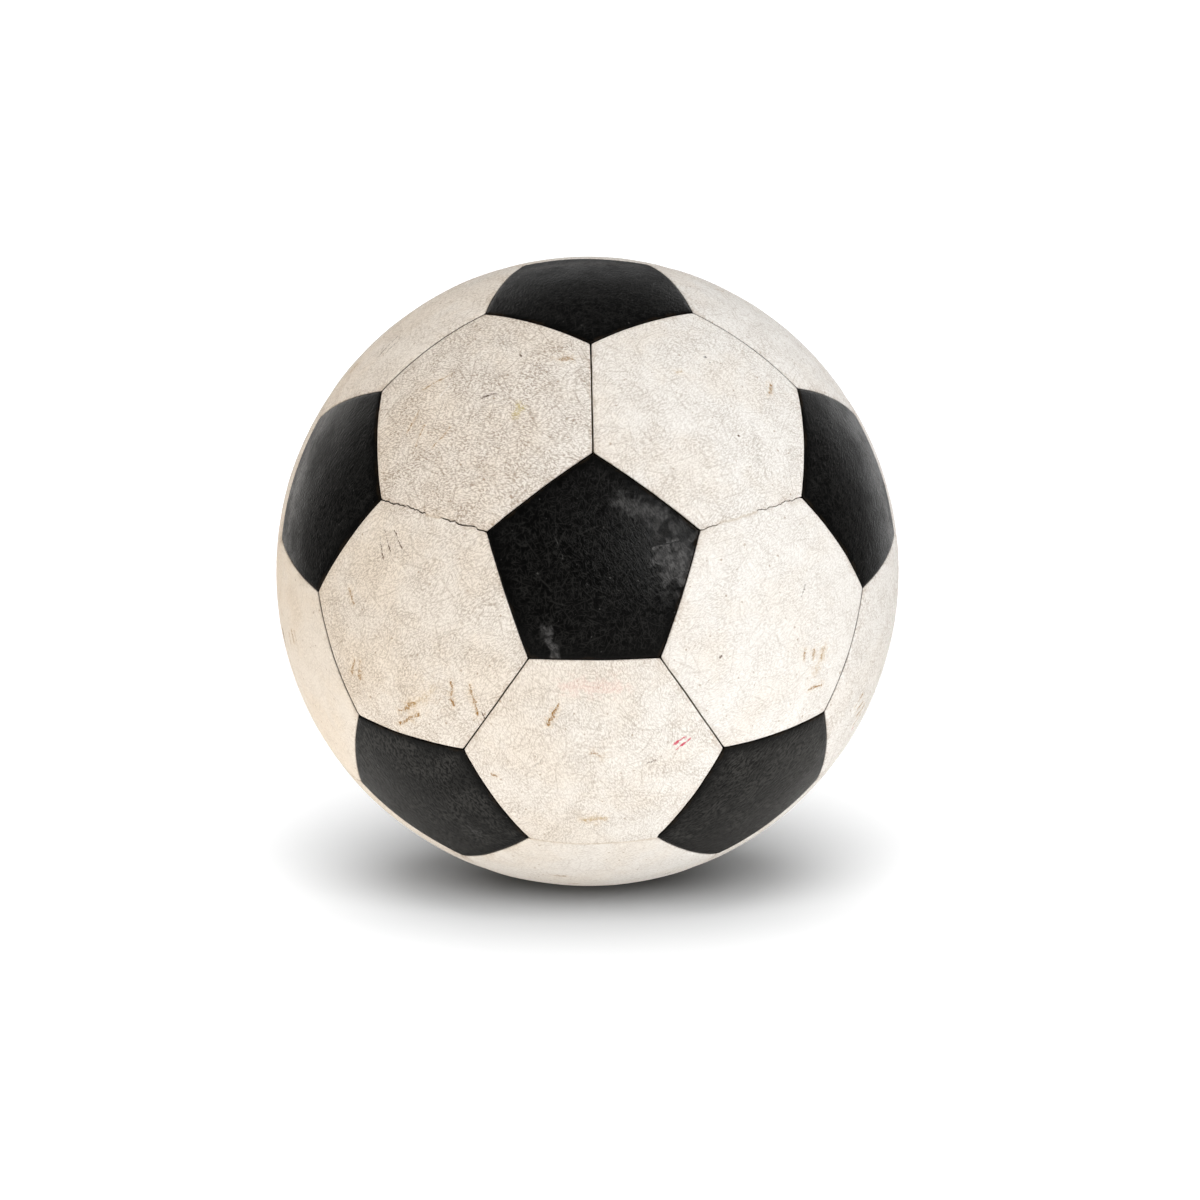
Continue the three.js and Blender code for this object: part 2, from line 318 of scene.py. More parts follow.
class Column:
    """What a seam does to one column of a panel's mesh."""

    def __init__(self, panel, index, per_side, sizes):
        shape = panel.shape
        side, step = divmod(index, per_side)
        self.azimuth = shape.start + TAU * (side + step / per_side) / shape.sides
        self.psi = math.pi / shape.sides * (2 * step / per_side - 1)
        seam = SEAMS[panel.node, side]
        point = panel.turn @ direction(spread(shape.reach, self.psi, 1, 0), self.azimuth)
        along = seam.along(point)
        wear = seam.wear
        ends = math.sin(math.pi * min(1, max(0, along)))
        place = point * 110
        wander = 0.10 * noise.noise(place / 9)
        jagged = noise.noise(place / 3.2) + 0.65 * noise.noise(place / 1.4) + 0.5 * noise.noise(place / 0.75)
        shift = (wander + wear.jag * jagged) * min(1, 3 * ends) * MM
        width = wear.gap * (1 + 0.25 * noise.noise(place / 6 + Vector((7, 0, 0))))
        self.closed = wear.closed(along)
        side_of_seam = 1 if seam.normal.dot(panel.out) > 0 else -1
        open_gap = sizes.half_gap * width * (1 + 0.3 * wear.jag * jagged)
        self.edge = max(0.02 * MM, open_gap * (1 - self.closed)) + side_of_seam * shift
        self.roll = sizes.roll * (1 - self.closed) * min(1, 0.35 + 0.65 * wear.gap) + 0.02 * MM
        self.rounding = self.corner_rounding(shape, sizes)

    def corner_rounding(self, shape, sizes):
        """How far the outline is drawn in beside a corner."""
        side_length = 2 * sizes.radius * math.asin(math.sin(shape.corner) * math.sin(math.pi / shape.sides))
        near = (1 - abs(self.psi) / (math.pi / shape.sides)) * side_length / 2
        return 0.12 * MM * math.exp(-((near / (0.6 * MM)) ** 2))


def surface_rings(shape, sizes):
    """Insets from a panel's edge to its middle, close at the edge, of the rings beyond the rolled edge."""
    middle = sizes.radius * math.sin(shape.reach)
    rings, inset, step = [], sizes.roll, 0.35 * MM
    while inset + step < middle - 1.5 * MM:
        inset += step
        rings.append(inset)
        step = min(step * 1.35, 2.6 * MM)
    return rings


def lumps(place):
    """The surface's slow rise and fall in metres, from a place in the casing's axes in mm."""
    return (0.16 * noise.noise(place / 22) + 0.07 * noise.noise(place / 9)) * MM


def panel_rings(panel, sizes):
    """A panel's section as rings from the middle of the face to the middle of the underside. Each ring is a
    function of the column that gives an inset and a depth."""
    shape, radius = panel.shape, sizes.radius
    middle = radius * math.sin(shape.reach)
    surface = surface_rings(shape, sizes)
    if panel.node == VALVE_PANEL:
        surface = [inset for inset in surface if inset < middle - VALVE_HOLE - 1.5 * MM]
    tip = sizes.sheet + sizes.lip_depth

    def face(inset):
        ease = max(0, 1 - inset / (9 * MM))
        sag = EDGE_SAG * math.exp(-inset / (1.3 * MM))
        return lambda c: (inset + (c.edge + c.rounding) * ease, sag * (1 - c.closed))

    def edge(turn):
        return lambda c: (
            c.edge + c.rounding + c.roll * (1 - math.cos(turn)),
            c.roll * (1 - math.sin(turn)) + EDGE_SAG * (1 - c.closed),
        )

    def lip(outward, depth):
        down = (depth - sizes.roll) / (tip - sizes.roll)
        return lambda c: (max(c.edge, 0.1 * MM) + sizes.lip_flare * down + outward, depth)

    def under(share):
        inset = (radius - sizes.sheet) * math.sin(shape.reach) * share
        return lambda c: (inset, sizes.sheet)

    rings = [face(inset) for inset in reversed(surface)]
    rings += [edge(math.pi / 2 * i / 6) for i in range(6, -1, -1)]
    rings += [lip(0, depth) for depth in (1.6 * MM, 3.6 * MM, tip)]
    rings += [lip(sizes.lip_thickness, depth) for depth in (tip, (tip + sizes.sheet) / 2, sizes.sheet)]
    rings += [under(share) for share in (0.25, 0.5, 0.75)]
    return rings


VALVE_HOLE = 4.6 * MM


def panel_mesh(panel, sizes):
    """A closed panel in the ball's axes, with each vertex's place on the leather for the materials."""
    shape = panel.shape
    rings = panel_rings(panel, sizes)
    jagged = any(SEAMS[panel.node, side].wear.jag > 0.2 for side in range(shape.sides))
    per_side = sizes.columns * 2 if jagged else sizes.columns
    count = shape.sides * per_side
    columns = [Column(panel, i, per_side, sizes) for i in range(count)]
    to_ball = ball_matrix(sizes)
    shade = random.Random(panel.node)
    chance = shade.uniform(0, 360)
    grain_turn = Matrix.Rotation(-math.radians(GRAIN_ALONG.get(panel.node, chance)), 2)
    grain_offset = Vector((shade.uniform(-500, 500), shade.uniform(-500, 500)))
    mesh = bmesh.new()
    facts = []

    def add(angle, azimuth, rho, inset, depth, closed):
        point = panel.turn @ direction(angle, azimuth)
        vertex = mesh.verts.new(to_ball @ (point * (rho + lumps(point * 110))))
        flat = Vector((math.sin(azimuth), math.cos(azimuth))) * (angle * sizes.radius / MM)
        grain = grain_turn @ flat + grain_offset
        facts.append(((flat.x, flat.y, inset / MM), (grain.x, grain.y, 0), (depth / MM, closed, 0)))
        return vertex

    loops = []
    for ring in rings:
        loop = []
        for column in columns:
            inset, depth = ring(column)
            rho = sizes.radius - depth
            angle = spread(shape.reach, column.psi, rho, inset)
            from_edge = inset - column.edge
            loop.append(add(angle, column.azimuth, rho, from_edge, depth, column.closed))
        loops.append(loop)
    if panel.node == VALVE_PANEL:
        for rho, at in ((sizes.radius, 0), (sizes.radius - sizes.sheet, len(loops))):
            angle = VALVE_HOLE / sizes.radius
            depth = sizes.radius - rho
            rim = [add(angle, column.azimuth, rho, 30 * MM, depth, 0) for column in columns]
            loops.insert(at if at == 0 else len(loops), rim)
    for one, other in zip(loops, loops[1:]):
        bridge(mesh, one, other)
    if panel.node == VALVE_PANEL:
        bridge(mesh, loops[-1], loops[0])
    else:
        ends = ((loops[0], sizes.radius, False), (loops[-1], sizes.radius - sizes.sheet, True))
        for loop, rho, flip in ends:
            middle = add(0, 0, rho, FAR_FROM_SEAMS, sizes.radius - rho, 0)
            for i, vertex in enumerate(loop):
                following = loop[(i + 1) % count]
                mesh.faces.new((middle, vertex, following) if flip else (middle, following, vertex))
    return finish_mesh(mesh, panel.node + "_leather", facts)


def bridge(mesh, one, other):
    """Quads between two closed loops of as many vertices."""
    for i in range(len(one)):
        j = (i + 1) % len(one)
        mesh.faces.new((one[i], one[j], other[j], other[i]))


# The direction in which a panel's grain is drawn out, in degrees from the panel's own X to its Y. The rest
# lie at random, as they were cut.
GRAIN_ALONG = {"white_hexagon_front_5": 132, "white_hexagon_front_1": 74, "black_pentagon_front": -60}

LEATHER_PLACE, GRAIN_PLACE, SEAM_STATE = "leather_place", "grain_place", "seam_state"


def finish_mesh(mesh, name, facts=()):
    """Makes the object, faces outwards and smooth."""
    bmesh.ops.recalc_face_normals(mesh, faces=mesh.faces)
    data = bpy.data.meshes.new(name)
    mesh.to_mesh(data)
    mesh.free()
    for polygon in data.polygons:
        polygon.use_smooth = True
    if facts:
        for index, attribute in enumerate((LEATHER_PLACE, GRAIN_PLACE, SEAM_STATE)):
            layer = data.attributes.new(attribute, "FLOAT_VECTOR", "POINT")
            layer.data.foreach_set("vector", [value for fact in facts for value in fact[index]])
    piece = bpy.data.objects.new(name, data)
    bpy.context.scene.collection.objects.link(piece)
    return piece


def ball_matrix(sizes):
    """From the casing's axes to the ball's, with the ball a little out of round."""
    squash = Matrix.Diagonal((sizes.width, 1, sizes.height))
    return squash @ Matrix.Rotation(math.pi / 2 - sizes.tilt, 3, "X")


def add_piece(piece, material, slot, *nodes):
    piece.data.materials.append(material)
    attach(piece, "root")
    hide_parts(*nodes)
    return piece


# ---- Node trees --------------------------------------------------------------------------------------------


class Tree:
    """A short way to write a node tree: each call adds a node and returns its output socket."""

    def __init__(self, tree):
        self.tree = tree

    def node(self, kind, inputs=(), **settings):
        made = self.tree.nodes.new(kind)
        for name, value in settings.items():
            setattr(made, name, value)
        for name, value in dict(inputs).items():
            self.feed(made.inputs[name], value)
        return made

    def feed(self, socket, value):
        if isinstance(value, bpy.types.NodeSocket):
            self.tree.links.new(value, socket)
        elif hasattr(socket.default_value, "__len__") and len(socket.default_value) == 4 and len(value) == 3:
            socket.default_value = (*value, 1)
        else:
            socket.default_value = value

    def math(self, operation, *values, **settings):
        return self.node("ShaderNodeMath", enumerate(values), operation=operation, **settings).outputs[0]

    def vector(self, operation, *values):
        made = self.node("ShaderNodeVectorMath", operation=operation)
        for socket, value in zip(made.inputs, values):
            self.feed(socket, value)
        return made.outputs["Value" if operation in ("DOT_PRODUCT", "LENGTH") else "Vector"]

    def scaled(self, vector, factor):
        made = self.node("ShaderNodeVectorMath", operation="SCALE")
        self.feed(made.inputs[0], vector)
        self.feed(made.inputs["Scale"], factor)
        return made.outputs[0]

    def ramp(self, value, low, high, to_low=0.0, to_high=1.0, smooth=True):
        """Maps low to high onto 0 to 1, or to the values given, and no further."""
        ends = {"Value": value, "From Min": low, "From Max": high, "To Min": to_low, "To Max": to_high}
        kind = "SMOOTHSTEP" if smooth else "LINEAR"
        return self.node("ShaderNodeMapRange", ends, interpolation_type=kind).outputs[0]

    def noise(self, place, scale, detail=0.0, roughness=0.5, dimensions="2D"):
        inputs = {"Vector": place, "Scale": scale, "Detail": detail, "Roughness": roughness}
        return self.node("ShaderNodeTexNoise", inputs, noise_dimensions=dimensions).outputs["Fac"]

    def mix(self, factor, one, other):
        made = self.node("ShaderNodeMix", data_type="RGBA")
        for socket, value in zip((made.inputs[0], made.inputs[6], made.inputs[7]), (factor, one, other)):
            self.feed(socket, value)
        return made.outputs[2]

    def group(self, group, **inputs):
        made = self.node("ShaderNodeGroup", node_tree=group)
        for name, value in inputs.items():
            self.feed(made.inputs[name.replace("_", " ").capitalize()], value)
        return made.outputs


def new_group(name, inputs, outputs):
    """A shader node group, with its inputs' and outputs' names and kinds. Returns it, its Tree, its inputs'
    sockets and its output node."""
    group = bpy.data.node_groups.new(name, "ShaderNodeTree")
    for title, (kind, default) in inputs.items():
        socket = group.interface.new_socket(title, in_out="INPUT", socket_type=kind)
        socket.default_value = default
    for title in outputs:
        group.interface.new_socket(title, in_out="OUTPUT", socket_type="NodeSocketFloat")
    tree = Tree(group)
    return group, tree, tree.node("NodeGroupInput").outputs, tree.node("NodeGroupOutput")


VECTOR, FLOAT = "NodeSocketVector", "NodeSocketFloat"


def grain_group():
    """Leather grain: fine wavy ridges drawn out along X, with creases between them and pores."""
    group, tree, given, out = new_group(
        "leather_grain", {"Place": (VECTOR, (0, 0, 0)), "Cell": (FLOAT, 1.0)}, ("Height", "Crease")
    )
    wide = tree.node("ShaderNodeTexNoise", {"Vector": given["Place"], "Scale": 0.16, "Detail": 1.0})
    near = tree.node("ShaderNodeTexNoise", {"Vector": given["Place"], "Scale": 0.7, "Detail": 1.0})
    bent = tree.vector("ADD", given["Place"], tree.scaled(wide.outputs["Color"], 3.4))
    bent = tree.vector("ADD", bent, tree.scaled(near.outputs["Color"], 0.9))
    inverse = tree.math("DIVIDE", 1.0, given["Cell"])
    ridged = tree.scaled(tree.vector("MULTIPLY", bent, (0.55, 1.15, 1.0)), inverse)
    waves = tree.noise(ridged, 1.0, 1.5, 0.55)
    pebbles = tree.node(
        "ShaderNodeTexVoronoi",
        {"Vector": ridged, "Scale": 0.9},
        voronoi_dimensions="2D",
        feature="DISTANCE_TO_EDGE",
    )
    plateau = tree.ramp(pebbles.outputs["Distance"], 0.0, 0.32)
    fine = tree.noise(ridged, 3.1, 1.0, 0.6)
    height = tree.math("ADD", tree.math("MULTIPLY", waves, 1.5), tree.math("MULTIPLY", plateau, 0.22))
    height = tree.math("ADD", height, tree.math("MULTIPLY", fine, 0.4))
    tree.feed(out.inputs["Height"], height)
    tree.feed(out.inputs["Crease"], tree.ramp(height, 1.22, 0.86))
    return group


def scratches_group():
    """Fine straight scratches in three directions, broken up over the surface."""
    group, tree, given, out = new_group(
        "fine_scratches",
        {
            "Place": (VECTOR, (0, 0, 0)),
            "Length": (FLOAT, 12.0),
            "Width": (FLOAT, 0.25),
            "Amount": (FLOAT, 0.3),
        },
        ("Mask",),
    )
    bend = tree.node("ShaderNodeTexNoise", {"Vector": given["Place"], "Scale": 0.05}, noise_dimensions="2D")
    bent = tree.vector("ADD", given["Place"], tree.scaled(bend.outputs["Color"], 4.5))
    across = tree.math("DIVIDE", 1.0, given["Width"])
    lengthwise = tree.math("DIVIDE", 1.0, given["Length"])
    stretch = tree.node("ShaderNodeCombineXYZ", {"X": lengthwise, "Y": across}).outputs[0]
    threshold = tree.math("SUBTRACT", 0.82, tree.math("MULTIPLY", given["Amount"], 0.22))
    found = None
    for turn in (0.3, 0.85, 1.5, 2.05, 2.75):
        turned = tree.node(
            "ShaderNodeVectorRotate", {"Vector": bent, "Angle": turn}, rotation_type="Z_AXIS"
        ).outputs[0]
        streaks = tree.noise(tree.vector("MULTIPLY", turned, stretch), 0.55)
        line = tree.ramp(streaks, threshold, tree.math("ADD", threshold, 0.06))
        found = line if found is None else tree.math("MAXIMUM", found, line)
    tree.feed(out.inputs["Mask"], found)
    return group


def blotches_group():
    """Soft uneven patches."""
    group, tree, given, out = new_group(
        "blotches",
        {"Place": (VECTOR, (0, 0, 0)), "Size": (FLOAT, 20.0), "Share": (FLOAT, 0.5), "Soft": (FLOAT, 0.2)},
        ("Mask",),
    )
    patches = tree.noise(given["Place"], tree.math("DIVIDE", 1.0, given["Size"]), 4.0, 0.62)
    level = tree.math("SUBTRACT", 1.0, given["Share"])
    level = tree.ramp(level, 0.0, 1.0, 0.28, 0.72, smooth=False)
    low, high = tree.math("SUBTRACT", level, given["Soft"]), tree.math("ADD", level, given["Soft"])
    tree.feed(out.inputs["Mask"], tree.ramp(patches, low, high))
    return group


def specks_group():
    """Small scattered dots of dirt."""
    group, tree, given, out = new_group(
        "specks", {"Place": (VECTOR, (0, 0, 0)), "Spacing": (FLOAT, 6.0), "Size": (FLOAT, 0.3)}, ("Mask",)
    )
    scale = tree.math("DIVIDE", 1.0, given["Spacing"])
    wobble = tree.node("ShaderNodeTexNoise", {"Vector": given["Place"], "Scale": 1.6}, noise_dimensions="2D")
    place = tree.vector("ADD", given["Place"], tree.scaled(wobble.outputs["Color"], 0.5))
    dots = tree.node("ShaderNodeTexVoronoi", {"Vector": place, "Scale": scale}, voronoi_dimensions="2D")
    luck = tree.node("ShaderNodeSeparateColor", {"Color": dots.outputs["Color"]}).outputs
    size = tree.math("MULTIPLY", given["Size"], scale)
    size = tree.math("MULTIPLY", size, tree.math("MULTIPLY", luck[0], luck[1]))
    mask = tree.ramp(dots.outputs["Distance"], tree.math("MULTIPLY", size, 0.5), size, 1.0, 0.0)
    tree.feed(out.inputs["Mask"], mask)
    return group


def mark_group():
    """One scuff, or one patch of painted sheen, from its start to its end, thinner at the start by the taper,
    ragged and broken up.
    """
    group, tree, given, out = new_group(
        "scuff_and_sheen_mark",
        {
            "Place": (VECTOR, (0, 0, 0)),
            "Start": (VECTOR, (0, 0, 0)),
            "End": (VECTOR, (1, 0, 0)),
            "Width": (FLOAT, 1.0),
            "Taper": (FLOAT, 0.0),
            "Ragged": (FLOAT, 0.5),
            "Broken": (FLOAT, 0.5),
        },
        ("Mask", "Stain"),
    )
    flat = tree.vector("MULTIPLY", given["Place"], (1, 1, 0))
    wander = tree.node(
        "ShaderNodeTexNoise", {"Vector": flat, "Scale": 0.22, "Detail": 1.0}, noise_dimensions="2D"
    )
    aside = tree.vector("SUBTRACT", wander.outputs["Color"], (0.5, 0.5, 0.5))
    aside = tree.vector("MULTIPLY", aside, (1.9, 1.9, 0))
    ragged = tree.math("MINIMUM", given["Ragged"], 1.6)
    flat = tree.vector("ADD", flat, tree.scaled(aside, ragged))
    from_start = tree.vector("SUBTRACT", flat, given["Start"])
    run = tree.vector("SUBTRACT", given["End"], given["Start"])
    share = tree.math(
        "DIVIDE", tree.vector("DOT_PRODUCT", from_start, run), tree.vector("DOT_PRODUCT", run, run)
    )
    share = tree.ramp(share, 0.0, 1.0, smooth=False)
    off = tree.vector("LENGTH", tree.vector("SUBTRACT", from_start, tree.scaled(run, share)))
    rough = tree.noise(flat, 0.9, 4.0, 0.75)
    uneven = tree.math("SUBTRACT", rough, 0.46)
    off = tree.math("ADD", off, tree.math("MULTIPLY", uneven, tree.math("MULTIPLY", ragged, 1.7)))
    narrow = tree.math("MULTIPLY", given["Taper"], tree.math("SUBTRACT", 1.0, share))
    half = tree.math("SUBTRACT", 0.5, tree.math("MULTIPLY", narrow, 0.5))
    half = tree.math("MULTIPLY", given["Width"], half)
    half = tree.math("MULTIPLY", half, tree.ramp(tree.noise(flat, 0.35), 0.3, 0.7, 0.55, 1.45))
    soft = tree.ramp(given["Width"], 2.0, 5.0, 0.45, 0.0, smooth=False)
    body = tree.ramp(off, tree.math("MULTIPLY", half, soft), tree.math("MULTIPLY", half, 1.25), 1.0, 0.0)
    holes = tree.noise(flat, 1.3, 3.0, 0.65)
    level = tree.ramp(given["Broken"], 0.0, 1.0, 0.28, 0.56, smooth=False)
    kept = tree.ramp(holes, tree.math("SUBTRACT", level, 0.06), tree.math("ADD", level, 0.07))
    stain = tree.ramp(off, half, tree.math("MULTIPLY", half, 3.6), 1.0, 0.0)
    tree.feed(out.inputs["Mask"], tree.math("MULTIPLY", body, kept))
    tree.feed(out.inputs["Stain"], tree.math("MULTIPLY", stain, tree.ramp(holes, 0.36, 0.6)))
    return group


def seam_dirt_and_shade_group():
    """Dirt beside the seams, from the inset in mm, painted shade inside them, from the depth in mm, and the
    cover of bridged ones.
    """
    group, tree, given, out = new_group(
        "seam_dirt_and_shade",
        {"Place": (VECTOR, (0, 0, 0)), "State": (VECTOR, (0, 0, 0)), "Spread": (FLOAT, 1.6)},
        ("Inside", "Beside", "Bridged"),
    )
    inset = tree.node("ShaderNodeSeparateXYZ", {"Vector": given["Place"]}).outputs["Z"]
    state = tree.node("ShaderNodeSeparateXYZ", {"Vector": given["State"]}).outputs
    # Painted shade deep inside the seams, from 0.35 mm down.
    inside = tree.ramp(state["X"], 0.35, 0.85)
    patchy = tree.noise(given["Place"], 0.12, 4.0, 0.65)
    reach = tree.math("MULTIPLY", given["Spread"], tree.ramp(patchy, 0.35, 0.7, 0.15, 1.6))
    beside = tree.ramp(inset, 0.2, reach, 1.0, 0.0)
    bridged = tree.math("MULTIPLY", state["Y"], tree.ramp(inset, 0.0, 0.8, 1.0, 0.0))
    tree.feed(out.inputs["Inside"], inside)
    tree.feed(out.inputs["Beside"], tree.math("MULTIPLY", beside, tree.ramp(patchy, 0.4, 0.65)))
    tree.feed(out.inputs["Bridged"], bridged)
    return group


GROUP_MAKERS = {
    "grain": grain_group,
    "scratches": scratches_group,
    "blotches": blotches_group,
    "specks": specks_group,
    "mark": mark_group,
    "seam_dirt_and_shade": seam_dirt_and_shade_group,
}
GROUPS = {}


def shared(name):
    """A shared effect's node group, built the first time it is asked for."""
    if name not in GROUPS:
        GROUPS[name] = GROUP_MAKERS[name]()
    return GROUPS[name]


def new_material(name):
    material = bpy.data.materials.new(name)
    material.use_nodes = True
    material.node_tree.nodes.clear()
    tree = Tree(material.node_tree)
    shader = tree.node("ShaderNodeBsdfPrincipled")
    surface = tree.node("ShaderNodeOutputMaterial")
    tree.tree.links.new(shader.outputs[0], surface.inputs["Surface"])
    return material, tree, shader


def attribute(tree, name):
    return tree.node("ShaderNodeAttribute", attribute_name=name).outputs["Vector"]


# ---- Marks on the leather ----------------------------------------------------------------------------------

BROWN, DARK = (0.27, 0.135, 0.02), (0.085, 0.042, 0.016)
BLACK, GREY = (0.022, 0.018, 0.015), (0.30, 0.26, 0.22)
OCHRE, OLIVE = (0.42, 0.27, 0.09), (0.50, 0.40, 0.16)
RED, PINK = (0.55, 0.045, 0.09), (0.84, 0.56, 0.50)
PALE, JET = (0.88, 0.86, 0.82), (0.001, 0.001, 0.001)
# Greys for black leather: rubbed coating, and on the black pentagons at the front painted sheen and painted
# highlights.
RUB_AND_SHEEN, DARK_RUB_AND_SHEEN = (0.105, 0.102, 0.1), (0.048, 0.044, 0.04)
# The soft edge that a brown or ochre scuff leaves in white leather.
STAIN = (0.66, 0.46, 0.24)

# How far a stroke of a group strays: sideways as a share of the space between strokes, and lengthwise and
# aslant as shares of its length.
ASIDE, AHEAD, ASLANT = 0.2, 0.2, 0.08
# Panels whose outward direction points to the front by no more than this are scuffed at random, over this
# many mm to each side of their middle along X and Y.
TOWARDS_THE_BACK = 0.25
SCUFFED_X, SCUFFED_Y = 28, 26


class Mark:
    """A scuff on a panel from one point to another, in mm from the panel's middle along its own X and Y. It
    starts thinner by the taper and is ragged by that many mm, and broken goes from 0, whole, to 1."""

    def __init__(self, tint, start, end, width, strength, taper, ragged, broken):
        self.tint, self.start, self.end, self.width, self.strength = tint, start, end, width, strength
        self.taper, self.ragged, self.broken = taper, ragged, broken


def towards_hour(panel, hour):
    """The way to an hour of the clock, as seen from the front, along a panel's own X and Y."""
    angle = math.radians(30 * hour)
    return (panel.turn.transposed() @ Vector((math.sin(angle), math.cos(angle), 0))).xy.normalized()


class Scuffs:
    """Like strokes side by side. Their middle lies towards an hour of the clock, that many mm away from the
    panel's middle, and they run towards another hour. Each strays a little from its place and length."""

    def __init__(
        self, tint, hour, away, heading, run, count=1, width=1.2, strength=0.6, apart=4, broken=0.35
    ):
        self.tint, self.hour, self.away, self.heading, self.run = tint, hour, away, heading, run
        self.count, self.width, self.strength = count, width, strength
        self.apart, self.broken = apart, broken

    def strokes(self, panel, chance):
        middle = towards_hour(panel, self.hour) * self.away
        along = towards_hour(panel, self.heading)
        across = along.orthogonal()
        for i in range(self.count):
            aside = i - (self.count - 1) / 2 + chance.uniform(-ASIDE, ASIDE)
            ahead = chance.uniform(-AHEAD, AHEAD)
            place = middle + across * self.apart * aside + along * self.run * ahead
            half = along * self.run * chance.uniform(0.4, 0.55)
            half = half + across * self.run * chance.uniform(-ASLANT, ASLANT)
            start, end = tuple(place - half), tuple(place + half)
            ragged = min(0.3 + 0.4 * self.width, 1.2)
            yield Mark(self.tint, start, end, self.width, self.strength, 0.2, ragged, self.broken)


